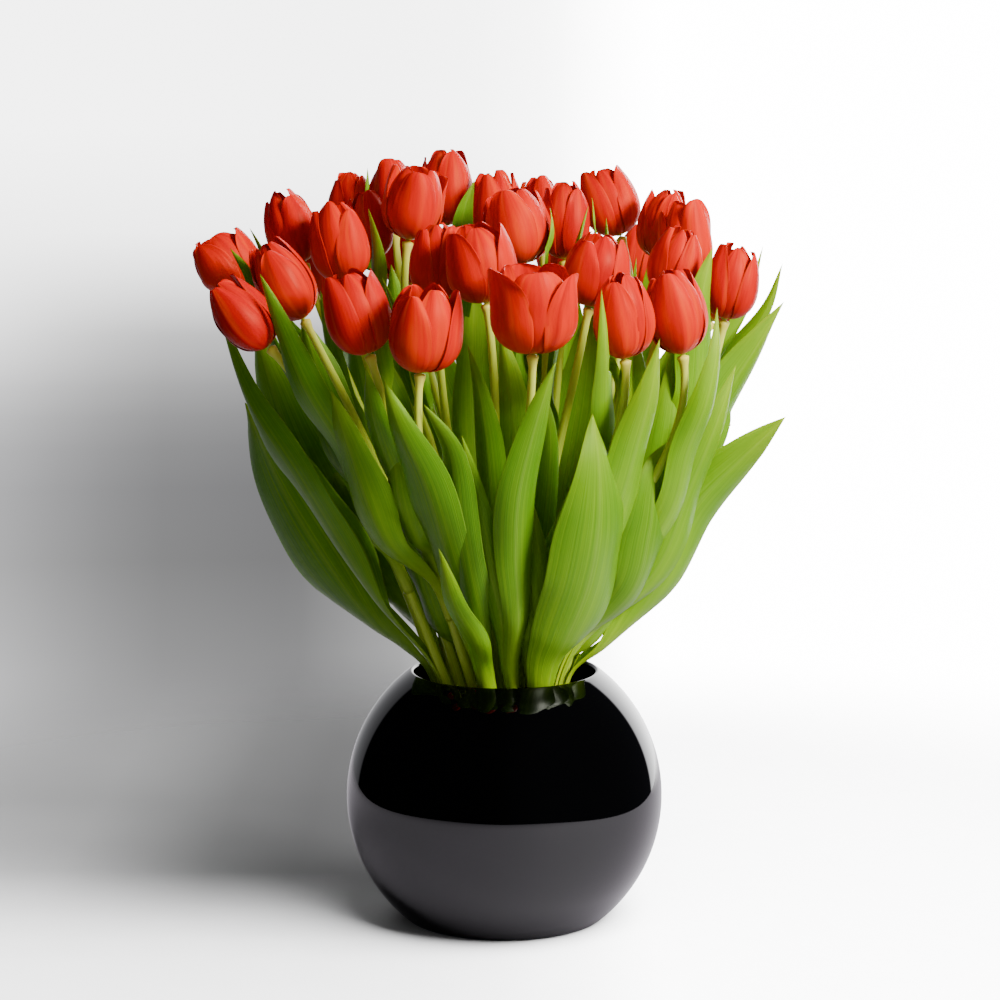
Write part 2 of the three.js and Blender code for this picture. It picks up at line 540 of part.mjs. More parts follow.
const mouths = mouthPoints();
const tulips = TULIPS.map(({ at, long, wide, open, lean }, index) => {
  const { axis, across, over } = bloomFrame(lean, index * SPIN);
  const base = new THREE.Vector3(...at);
  const spot = mouths[index];
  const foot = new THREE.Vector3(-spot.y, spot.x, 0).multiplyScalar(FOOT_SWIRL).setZ(FOOT_HEIGHT);
  const mouth = new THREE.Vector3(spot.x, spot.y, MOUTH_HEIGHT);
  const top = base.clone().addScaledVector(axis, -GAP);
  const curve = stemCurve(foot, mouth, top, axis);
  return { long, wide, open, axis, across, over, base, foot, mouth, curve };
});

const greens = tulips.map(({ curve }, index) => ({
  members: [index + 1],
  solid: rod(curve, STEM_RADIUS, STEM_SIDES, STEM_STEPS),
}));
const low = tulips.map(() => 0); // how many of a stem's leaves leave it one above the other
for (const leaf of [...PLACED_LEAVES, ...furtherLeaves(tulips)]) {
  const index = leaf.of - 1;
  const nested = leaf.from ? 0 : low[index]++;
  greens[index].solid = greens[index].solid.add(leafSolid(tulips, leaf, nested));
}

// Stems whose leaves cross are one solid.
for (let i = 0; i < greens.length; i++) {
  for (let j = i + 1; j < greens.length; j++) {
    if (greens[i].solid.intersect(greens[j].solid).volume() < LEAST_CROSSING) continue;
    greens[i].solid = greens[i].solid.add(greens[j].solid);
    greens[i].members.push(...greens[j].members);
    greens.splice(j, 1);
    j = i;
  }
}

// ---- Materials and the scene ----

const glass = new THREE.MeshStandardMaterial({ color: 0x08080a, roughness: 0.06, metalness: 0 });
const water = new THREE.MeshStandardMaterial({ color: 0xcfe0dd, roughness: 0.05, metalness: 0 });
const petals = new THREE.MeshStandardMaterial({ color: 0xd9281a, roughness: 0.45, metalness: 0 });
const leaves = new THREE.MeshStandardMaterial({ color: 0x5f8f2a, roughness: 0.5, metalness: 0 });

const number = (n) => String(n).padStart(2, "0");

const bunch = new THREE.Group();
bunch.name = "tulips_in_vase";
bunch.add(meshOf("vase", vaseSolid(), glass));
bunch.add(meshOf("water", waterSolid(tulips), water));
tulips.forEach((tulip, index) => {
  bunch.add(meshOf("bloom_" + number(index + 1), bloomSolid(tulip), petals));
});
for (const { members, solid } of greens) {
  const name = "leafy_stem_" + members.sort((a, b) => a - b).map(number).join("_");
  bunch.add(meshOf(name, wholeOf(solid), leaves));
}

export default bunch;
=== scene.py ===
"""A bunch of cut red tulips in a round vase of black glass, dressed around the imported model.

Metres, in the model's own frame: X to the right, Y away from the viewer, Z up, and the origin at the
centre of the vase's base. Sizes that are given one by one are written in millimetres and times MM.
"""

import json
import math

import bpy
import numpy as np
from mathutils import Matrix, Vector

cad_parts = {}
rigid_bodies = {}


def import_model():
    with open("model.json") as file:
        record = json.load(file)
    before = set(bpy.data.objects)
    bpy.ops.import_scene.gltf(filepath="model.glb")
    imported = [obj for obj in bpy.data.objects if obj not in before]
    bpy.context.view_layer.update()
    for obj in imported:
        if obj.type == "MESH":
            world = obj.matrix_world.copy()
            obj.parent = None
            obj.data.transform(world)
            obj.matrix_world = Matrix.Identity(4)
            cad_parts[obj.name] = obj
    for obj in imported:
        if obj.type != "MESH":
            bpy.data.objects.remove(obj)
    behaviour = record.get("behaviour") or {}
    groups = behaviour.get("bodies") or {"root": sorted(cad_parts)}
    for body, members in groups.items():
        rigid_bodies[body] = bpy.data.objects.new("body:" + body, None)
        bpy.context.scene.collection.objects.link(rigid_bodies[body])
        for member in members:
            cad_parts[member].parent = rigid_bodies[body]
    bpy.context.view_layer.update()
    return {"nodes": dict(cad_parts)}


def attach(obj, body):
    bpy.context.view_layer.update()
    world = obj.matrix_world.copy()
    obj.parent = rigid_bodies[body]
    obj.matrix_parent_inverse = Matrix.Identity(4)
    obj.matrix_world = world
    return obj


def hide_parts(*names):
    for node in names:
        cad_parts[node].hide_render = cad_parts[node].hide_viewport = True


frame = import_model()
MM = 0.001


# ---- The vase ------------------------------------------------------------------------------------
# One ball of black glass, blown with a 3.5 mm wall and a thicker floor. It was cut off at the mouth
# and fire-polished there, which left a round lip, and its base is ground flat.

BALL_RADIUS = 100 * MM
BASE_RADIUS = 63.5 * MM
MOUTH_RADIUS = 60 * MM
GLASS = 3.5 * MM
VASE_FLOOR = 6 * MM
BASE_ROUND = 0.45 * MM, 0.09 * MM  # the base's round edge starts this far in and ends this far up
ROUND_ANGLE = 0.008  # the ball's side takes over this many radians above the base
VASE_SIDES = 144
OUTSIDE_ROWS, LIP_ROWS, INSIDE_ROWS = 72, 14, 56
BALL_HEIGHT = math.sqrt(BALL_RADIUS**2 - BASE_RADIUS**2)
MOUTH_HEIGHT = BALL_HEIGHT + math.sqrt(BALL_RADIUS**2 - MOUTH_RADIUS**2)


def arc(centre, radius, start, end, count):
    """Points at centre + radius * (cos a, sin a), for count angles a from start to end."""
    angle = np.linspace(start, end, count)
    return np.stack([centre[0] + radius * np.cos(angle), centre[1] + radius * np.sin(angle)], -1)


def turned(profile, sides):
    """Rings about Z: the profile's point (r, z) becomes (r cos a, r sin a, z) for each of the sides."""
    angle = 2 * np.pi * np.arange(sides) / sides
    radius = profile[:, 0, None]
    height = np.broadcast_to(profile[:, 1, None], (len(profile), sides))
    return np.stack([radius * np.cos(angle), radius * np.sin(angle), height], -1)


def skin(rings, start, end, across=None, along=None):
    """A closed surface through rings[row, point]: four-sided faces between the rows, and a fan of
    triangles to the point start before the first row and to the point end after the last. Its UV is
    (across, along), with across given for each point of a ring and once more where the ring closes."""
    rows, points = rings.shape[:2]
    across = np.linspace(0, 1, points + 1) if across is None else across
    along = np.linspace(0, 1, rows) if along is None else along
    corners = np.concatenate([rings.reshape(-1, 3), [start], [end]])
    row, point = np.meshgrid(np.arange(rows - 1), np.arange(points), indexing="ij")
    after = (point + 1) % points
    quads = np.stack([row * points + point, row * points + after, (row + 1) * points + after,
                      (row + 1) * points + point], -1).reshape(-1, 4)
    quad_uv = np.stack([
        np.stack([across[point], across[point + 1], across[point + 1], across[point]], -1),
        np.stack([along[row], along[row], along[row + 1], along[row + 1]], -1),
    ], -1).reshape(-1, 4, 2)
    one = np.arange(points)
    two = (one + 1) % points
    first_pole, last_pole = rows * points, rows * points + 1
    last_row = (rows - 1) * points
    fans = np.concatenate([
        np.stack([two, one, np.full(points, first_pole)], -1),
        np.stack([last_row + one, last_row + two, np.full(points, last_pole)], -1),
    ])
    left, right = across[:-1], across[1:]
    middle = (left + right) / 2
    fan_across = np.concatenate([np.stack([right, left, middle], -1), np.stack([left, right, middle], -1)])
    fan_along = np.broadcast_to(np.repeat(along[[0, -1]], points)[:, None], fan_across.shape)
    fan_uv = np.stack([fan_across, fan_along], -1)
    return {"corners": corners, "quads": quads, "fans": fans, "quad_uv": quad_uv, "fan_uv": fan_uv}


def piece(name, skins, material, node, marks=None):
    """One object of several closed skins. It rides on the root body and replaces its node of the model.
    marks gives, for each skin, named numbers that the material reads as attributes."""
    offsets = np.cumsum([0] + [len(one["corners"]) for one in skins])
    corners = np.concatenate([one["corners"] for one in skins])
    quads = np.concatenate([one["quads"] + offset for one, offset in zip(skins, offsets)])
    fans = np.concatenate([one["fans"] + offset for one, offset in zip(skins, offsets)])
    mesh = bpy.data.meshes.new(name)
    mesh.from_pydata(corners.tolist(), [], quads.tolist() + fans.tolist())
    mesh.polygons.foreach_set("use_smooth", np.ones(len(mesh.polygons), bool))
    uv = np.concatenate([one[faces].reshape(-1, 2) for faces in ("quad_uv", "fan_uv") for one in skins])
    mesh.uv_layers.new(name="UVMap").data.foreach_set("uv", uv.astype(np.float32).ravel())
    for mark in (marks[0] if marks else {}):
        values = [np.full(len(one["corners"]), given[mark]) for given, one in zip(marks, skins)]
        attribute = mesh.attributes.new(mark, "FLOAT", "POINT")
        attribute.data.foreach_set("value", np.concatenate(values).astype(np.float32))
    mesh.materials.append(material)
    made = bpy.data.objects.new(name, mesh)
    bpy.context.scene.collection.objects.link(made)
    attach(made, "root")
    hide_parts(node)
    return made


def finish_of(name, **sockets):
    """A new material, its node tree and its main shader, with the shader's named sockets set."""
    material = bpy.data.materials.new(name)
    material.use_nodes = True
    shader = material.node_tree.nodes["Principled BSDF"]
    for socket, value in sockets.items():
        shader.inputs[socket.replace("_", " ")].default_value = value
    return material, material.node_tree, shader


def put(tree, kind, inputs=None, **settings):
    """A node with its settings, and its inputs linked where a socket is given and set otherwise."""
    made = tree.nodes.new(kind)
    for key, value in settings.items():
        setattr(made, key, value)
    for key, value in (inputs or {}).items():
        if isinstance(value, bpy.types.NodeSocket):
            tree.links.new(value, made.inputs[key])
        else:
            made.inputs[key].default_value = value
    return made


def colour(value):
    """A colour as Blender wants it, from three shares or from one for a grey or a plain number."""
    return (*value, 1) if isinstance(value, tuple) else (value, value, value, 1)


def ramp(tree, factor, stops):
    """Numbers or colours that run from stop to stop as the factor goes from 0 to 1."""
    made = put(tree, "ShaderNodeValToRGB", {"Fac": factor})
    elements = made.color_ramp.elements
    elements[0].position, elements[1].position = stops[0][0], stops[-1][0]
    for place, _ in stops[1:-1]:
        elements.new(place)
    for element, (_, value) in zip(elements, stops):
        element.color = colour(value)
    return made.outputs["Color"]


def feed(shader, **sockets):
    """Links to each named socket of the shader what is given for it."""
    for socket, value in sockets.items():
        shader.id_data.links.new(value, shader.inputs[socket.replace("_", " ")])


def noise(tree, vector, scale, detail=2.0):
    """A cloudy pattern from 0 to 1 over the vector."""
    inputs = {"Vector": vector, "Scale": scale, "Detail": detail}
    return put(tree, "ShaderNodeTexNoise", inputs).outputs["Fac"]


def relief(tree, height, strength, distance):
    """The normals of a surface that stands out by the distance where the height is 1."""
    inputs = {"Height": height, "Strength": strength, "Distance": distance}
    return put(tree, "ShaderNodeBump", inputs).outputs["Normal"]


def vase_profile():
    """Up the outside from the base's centre, over the lip and down the inside to the floor's centre."""
    base_angle = math.asin(-BALL_HEIGHT / BALL_RADIUS)
    mouth_angle = math.asin((MOUTH_HEIGHT - BALL_HEIGHT) / BALL_RADIUS)
    flat = np.stack([np.linspace(0.2, 0.985, 8) * BASE_RADIUS, np.zeros(8)], -1)
    edge = np.array([[BASE_RADIUS - BASE_ROUND[0], BASE_ROUND[1]]])
    outside = arc((0, BALL_HEIGHT), BALL_RADIUS, base_angle + ROUND_ANGLE, mouth_angle, OUTSIDE_ROWS)
    middle = BALL_RADIUS - GLASS / 2
    lip_centre = (middle * math.cos(mouth_angle), BALL_HEIGHT + middle * math.sin(mouth_angle))
    lip = arc(lip_centre, GLASS / 2, mouth_angle, mouth_angle + np.pi, LIP_ROWS)[1:-1]
    inner = BALL_RADIUS - GLASS
    floor_angle = math.asin((VASE_FLOOR - BALL_HEIGHT) / inner)
    inside = arc((0, BALL_HEIGHT), inner, mouth_angle, floor_angle, INSIDE_ROWS)
    inner_floor = np.linspace(0.95, 0.1, 6)[:, None] * inside[-1:] * [1, 0] + [0, VASE_FLOOR]
    return np.concatenate([flat, edge, outside, lip, inside, inner_floor])


glass_black, tree, shader = finish_of("glass_black", Base_Color=(0.0025, 0.0025, 0.003, 1), IOR=1.47)
place = put(tree, "ShaderNodeTexCoord").outputs["Object"]
smears = ramp(tree, noise(tree, place, 26.0, 5.0), [(0.35, 0.018), (0.62, 0.03), (0.8, 0.05)])
waves = noise(tree, place, 9.0, 1.0)
feed(shader, Roughness=smears, Normal=relief(tree, waves, 0.05, 2 * MM))

vase_skin = skin(turned(vase_profile(), VASE_SIDES), (0, 0, 0), (0, 0, VASE_FLOOR))
vase = piece("vase_glass", [vase_skin], glass_black, "vase")


# ---- Where the tulips stand ----------------------------------------------------------------------
# The cut tulips are only put into the vase: their stems stand askew on its floor, pass its mouth side
# by side and spread out above it.

TULIPS = [
    # the base of the flower, the flower's length and radius, how wide its mouth is against that radius,
    # and how many degrees it leans to the right and away from the viewer
    ((-162, -5, 397), 38, 19, 0.85, (-30, -4)),
    ((-139, -72, 366), 50, 15.5, 0.6, (-40, -8)),
    ((-120, -52, 381), 52, 16, 0.55, (-27, -6)),
    ((-125, 15, 412), 48, 15.5, 0.6, (-18, 0)),
    ((-96, -15, 401), 51, 17, 0.7, (-10, -2)),
    ((-97, 74, 425), 43, 14.5, 0.6, (-4, 8)),
    ((-79, -92, 363), 52, 18, 0.75, (-17, -6)),
    ((-49, -114, 354), 53, 20.5, 0.75, (6, -10)),
    ((-70, 60, 431), 46, 15.5, 0.6, (-3, 2)),
    ((-60, 8, 426), 47, 18, 0.9, (9, 0)),
    ((-37, 80, 433), 50, 17, 0.7, (-1, 5)),
    ((-80, 32, 413), 44, 14, 0.6, (-13, 3)),
    ((-41, -28, 391), 48, 15.5, 0.65, (0, -3)),
    ((-11, -60, 391), 48, 20, 0.75, (-9, -5)),
    ((-4, 56, 420), 50, 16, 0.7, (-3, 3)),
    ((12, 5, 411), 48, 20, 0.8, (-10, 0)),
    ((16, -115, 365), 53, 24, 1.08, (0, -10)),
    ((25, 82, 419), 47, 14, 0.6, (-4, 5)),
    ((38, 32, 413), 50, 15, 0.7, (1, 2)),
    ((75, 66, 427), 46, 17, 0.7, (-18, 4)),
    ((51, -30, 387), 46, 19.5, 0.7, (10, -4)),
    ((70, -102, 361), 51, 17, 0.6, (-5, -8)),
    ((105, -82, 362), 51, 17, 0.6, (-10, -5)),
    ((97, 38, 413), 46, 14.5, 0.65, (9, 1)),
    ((116, 5, 401), 51, 16, 0.85, (-7, 0)),
    ((99, -35, 393), 43, 15, 0.6, (12, -5)),
    ((134, -25, 379), 47, 15.5, 0.6, (9, -4)),
    ((110, 12, 287), 39, 13, 0.6, (38, -4)),
    ((-112, 112, 384), 48, 16, 0.65, (-20, 16)),
    ((-62, 128, 392), 49, 17, 0.75, (-9, 19)),
    ((-12, 134, 398), 50, 16, 0.6, (-2, 20)),
    ((38, 130, 394), 48, 17, 0.7, (7, 18)),
    ((86, 114, 388), 49, 16, 0.6, (14, 16)),
    ((134, 72, 372), 47, 16, 0.65, (24, 12)),
]
STEM_ROOM = 13 * MM  # from one stem's middle to the next in the mouth
MOUTH_REACH = 46.5 * MM
DRAWN_IN = np.array([3.9, 2.9])  # how far the mouth draws the flowers' layout together
FOOT_SWIRL = 0.8  # a foot's distance from the middle against its stem's in the mouth
FOOT_HEIGHT = VASE_FLOOR + 1.4 * MM
FLOWER_GAP = 0.3 * MM
SPIN = 2.4  # each flower is turned about its axis by this many radians from the last


def unit(vectors):
    """Each vector divided by its length."""
    return vectors / np.linalg.norm(vectors, axis=-1, keepdims=True)


def mouth_points(layout):
    """The flowers' layout from above, divided by DRAWN_IN, from where each two stems nearer than
    STEM_ROOM edge apart by half of what they are short, pass after pass, within MOUTH_REACH."""
    points = layout / DRAWN_IN
    for _ in range(200):
        for i in range(len(points)):
            for j in range(i + 1, len(points)):
                apart = points[j] - points[i]
                distance = math.hypot(*apart)
                if distance < STEM_ROOM:
                    edge = apart * ((STEM_ROOM - distance) / 2 / distance)
                    points[j] += edge
                    points[i] -= edge
        length = np.linalg.norm(points, axis=1, keepdims=True)
        points *= np.minimum(1, MOUTH_REACH / np.maximum(length, 1e-9))
    return points


def stem_line(foot, mouth, top, axis):
    """Straight from the foot to the mouth, then a cubic curve whose ends leave along the line and
    arrive along the flower's axis, each with a third of the way as its reach."""
    reach = np.linalg.norm(mouth - top) / 3
    leaving = mouth + unit(mouth - foot) * reach
    arriving = top - axis * reach
    t = np.linspace(0, 1, 121)[:, None]
    bend = ((1 - t) ** 3 * mouth + 3 * (1 - t) ** 2 * t * leaving
            + 3 * (1 - t) * t**2 * arriving + t**3 * top)
    straight = foot + np.linspace(0, 1, 40, endpoint=False)[:, None] * (mouth - foot)
    return np.concatenate([straight, bend])


def turned_about(vector, axis, angle):
    """The vector turned about the axis by the angle, by Rodrigues' formula."""
    return (vector * math.cos(angle) + np.cross(axis, vector) * math.sin(angle)
            + axis * (axis @ vector) * (1 - math.cos(angle)))


tulips = []
for index, (spot, (at, long, wide, opening, lean)) in enumerate(
        zip(mouth_points(np.array([row[0][:2] for row in TULIPS]) * MM), TULIPS)):
    axis = unit(np.array([math.tan(math.radians(lean[0])), math.tan(math.radians(lean[1])), 1]))
    across = turned_about(unit(np.cross([0, 1, 0], axis)), axis, index * SPIN)
    base = np.array(at) * MM
    foot = np.array([-spot[1] * FOOT_SWIRL, spot[0] * FOOT_SWIRL, FOOT_HEIGHT])
    mouth = np.array([*spot, MOUTH_HEIGHT])
    tulips.append({
        "number": f"{index + 1:02d}", "base": base, "axis": axis, "across": across,
        "over": np.cross(axis, across), "long": long * MM, "wide": wide * MM, "open": opening,
        "foot": foot, "mouth": mouth,
        "line": stem_line(foot, mouth, base - axis * FLOWER_GAP, axis),
    })

green_nodes = {}
for node_name in frame["nodes"]:
    if node_name.startswith("leafy_stem_"):
        green_nodes.update({number: node_name for number in node_name.split("_")[2:]})


# ---- The water -----------------------------------------------------------------------------------
# Clean tap water, filled to about two thirds of the bowl. It climbs a little way up the glass and up
# every stem that stands in it.

WATER_LEVEL = 112 * MM
WATER_GAP = 0.4 * MM
WATER_CLIMB = 1.1 * MM
CLIMB_REACH = 1.6 * MM
WET_STEM_RADIUS = 3.6 * MM
WATER_SIDES = 160
SIDE_ROWS, TOP_ROWS = 28, 60
water_radius = BALL_RADIUS - GLASS - WATER_GAP
top_angle = math.asin((WATER_LEVEL - BALL_HEIGHT) / water_radius)
bottom_angle = math.asin((VASE_FLOOR + WATER_GAP - BALL_HEIGHT) / water_radius)
water_side = arc((0, BALL_HEIGHT), water_radius, bottom_angle, top_angle, SIDE_ROWS)
water_top = np.linspace(0.99, 0.012, TOP_ROWS)[:, None] * water_side[-1:] * [1, 0] + [0, WATER_LEVEL]
water_rings = turned(np.concatenate([water_side, water_top]), WATER_SIDES)


def at_height(line, height):
    """The point of a rising line at a height."""
    return np.array([np.interp(height, line[:, 2], line[:, axis]) for axis in range(3)])


def meniscus(points):
    """How far the water stands above its level: WATER_CLIMB * exp(-d / CLIMB_REACH) for the distance
    d to the nearest stem's skin, and as much for the distance to the glass."""
    stems = np.array([at_height(tulip["line"], WATER_LEVEL)[:2] for tulip in tulips])
    away = np.linalg.norm(points[..., None, :2] - stems, axis=-1).min(-1) - WET_STEM_RADIUS
    wall = water_side[-1, 0] - np.linalg.norm(points[..., :2], axis=-1)
    near = np.exp(-np.maximum(away, 0) / CLIMB_REACH) + np.exp(-np.maximum(wall, 0) / CLIMB_REACH)
    return WATER_CLIMB * near


still = water_rings[len(water_side):]
still[..., 2] += meniscus(still)
water_clear, tree, shader = finish_of(
    "water_clear", Base_Color=(0.9, 0.97, 0.93, 1), Transmission_Weight=1.0, IOR=1.333
)
ripples = noise(tree, put(tree, "ShaderNodeTexCoord").outputs["Object"], 30.0)
feed(shader, Roughness=ramp(tree, ripples, [(0.3, 0.0), (0.8, 0.02)]),
     Normal=relief(tree, ripples, 0.08, 2 * MM))
water_skin = skin(water_rings, (0, 0, VASE_FLOOR + WATER_GAP), (0, 0, WATER_LEVEL))
piece("water_in_vase", [water_skin], water_clear, "water")


# ---- The stems -----------------------------------------------------------------------------------
# Juicy round stalks of cut tulips, thicker at the cut foot than under the flower, where each swells
# again into the seat that the petals grow from.

STEM_FOOT_RADIUS = 3.7 * MM
STEM_NECK_RADIUS = 2.3 * MM
SEAT_RADIUS = 3.6 * MM
SEAT_HEIGHT = 4 * MM
STEM_WAVE, STEM_RIBS = 0.02, 0.025  # as shares of the radius
STEM_ROWS = 90
STEM_POINTS = 16


def resampled(line, shares):
    """The line's points at shares of its length."""
    length = np.concatenate([[0], np.cumsum(np.linalg.norm(np.diff(line, axis=0), axis=1))])
    return np.stack([np.interp(shares * length[-1], length, line[:, axis]) for axis in range(3)], -1)


def side_frames(line, hint):
    """For each point of a line its direction, the part of the hint square to it, and the third way."""
    along = unit(np.gradient(line, axis=0))
    side = unit(hint - along * np.sum(along * hint, axis=1, keepdims=True))
    return along, side, np.cross(along, side)


def stem_skin(tulip, index):
    """Rings round the stem's line, a little closer together towards the flower. From foot to neck the
    radius changes as share^1.2. Under the flower it swells by (seat - neck) * exp(-(d / SEAT_HEIGHT)^2)
    at the distance d from the top. A low wave along the stem and three low ribs make it uneven."""
    share = 1 - (1 - np.linspace(0, 1, STEM_ROWS)) ** 1.15
    line = resampled(tulip["line"], share)
    length = np.linalg.norm(np.diff(tulip["line"], axis=0), axis=1).sum()
    _, side, other = side_frames(line, np.array([1.0, 0.3, 0]))
    from_top = (1 - share) * length
    radius = STEM_FOOT_RADIUS + (STEM_NECK_RADIUS - STEM_FOOT_RADIUS) * share**1.2
    radius = radius + (SEAT_RADIUS - STEM_NECK_RADIUS) * np.exp(-(from_top / SEAT_HEIGHT) ** 2)
    radius = radius * (1 + STEM_WAVE * np.sin(9 * share * np.pi + index))
    angle = 2 * np.pi * np.arange(STEM_POINTS) / STEM_POINTS
    ribs = 1 + STEM_RIBS * np.cos(3 * angle + index)
    round_way = radius[:, None] * ribs
    rings = (line[:, None] + (round_way * np.cos(angle))[..., None] * side[:, None]
             + (round_way * np.sin(angle))[..., None] * other[:, None])
    return skin(rings, line[0] - [0, 0, 0.3 * MM], tulip["base"] + tulip["axis"] * 1.5 * MM)


def mixed(tree, factor, first, second, how="MIX"):
    """first with second laid over it by factor. Each is a socket, a colour or one number for a grey."""
    first, second = (each if isinstance(each, bpy.types.NodeSocket) else colour(each)
                     for each in (first, second))
    inputs = {0: factor, 6: first, 7: second}
    return put(tree, "ShaderNodeMix", inputs, data_type="RGBA", blend_type=how).outputs[2]


def own_uv(tree, scale=(1, 1, 1)):
    """The piece's own UV times the scale, which draws fibres and veins out along the piece."""
    uv = put(tree, "ShaderNodeUVMap", uv_map="UVMap").outputs["UV"]
    return put(tree, "ShaderNodeMapping", {"Vector": uv, "Scale": scale}).outputs["Vector"]


def own_ways(tree):
    """How far across and how far along the piece a place lies, by its own UV."""
    ways = put(tree, "ShaderNodeSeparateXYZ", {"Vector": own_uv(tree)}).outputs
    return ways["X"], ways["Y"]


green_stem, tree, shader = finish_of(
    "green_stem", Roughness=0.45, Subsurface_Weight=0.25, Subsurface_Scale=0.004,
    Subsurface_Radius=(0.8, 1.0, 0.2), Sheen_Weight=0.02, Specular_IOR_Level=0.3
)
fibres = noise(tree, own_uv(tree, (16.0, 3.0, 1.0)), 2.5, 4.0)
stalk = ramp(tree, own_ways(tree)[1], [
    (0.0, (0.52, 0.62, 0.16)), (0.35, (0.36, 0.52, 0.02)), (0.75, (0.42, 0.56, 0.02)),
    (0.95, (0.58, 0.64, 0.05)), (1.0, (0.74, 0.60, 0.06))])
streaked = mixed(tree, ramp(tree, fibres, [(0.35, 0.0), (0.7, 0.45)]), stalk, (0.68, 0.74, 0.10))
feed(shader, Base_Color=streaked, Normal=relief(tree, fibres, 0.25, 0.4 * MM))

for index, tulip in enumerate(tulips):
    piece("stem_" + tulip["number"], [stem_skin(tulip, index)], green_stem,
          green_nodes[tulip["number"]])


# ---- The leaves ----------------------------------------------------------------------------------
# Long fleshy tulip leaves that clasp their stem at the root, broaden to a shallow channel and draw out
# to a point. They grow on the stems, and their fine veins run from end to end.

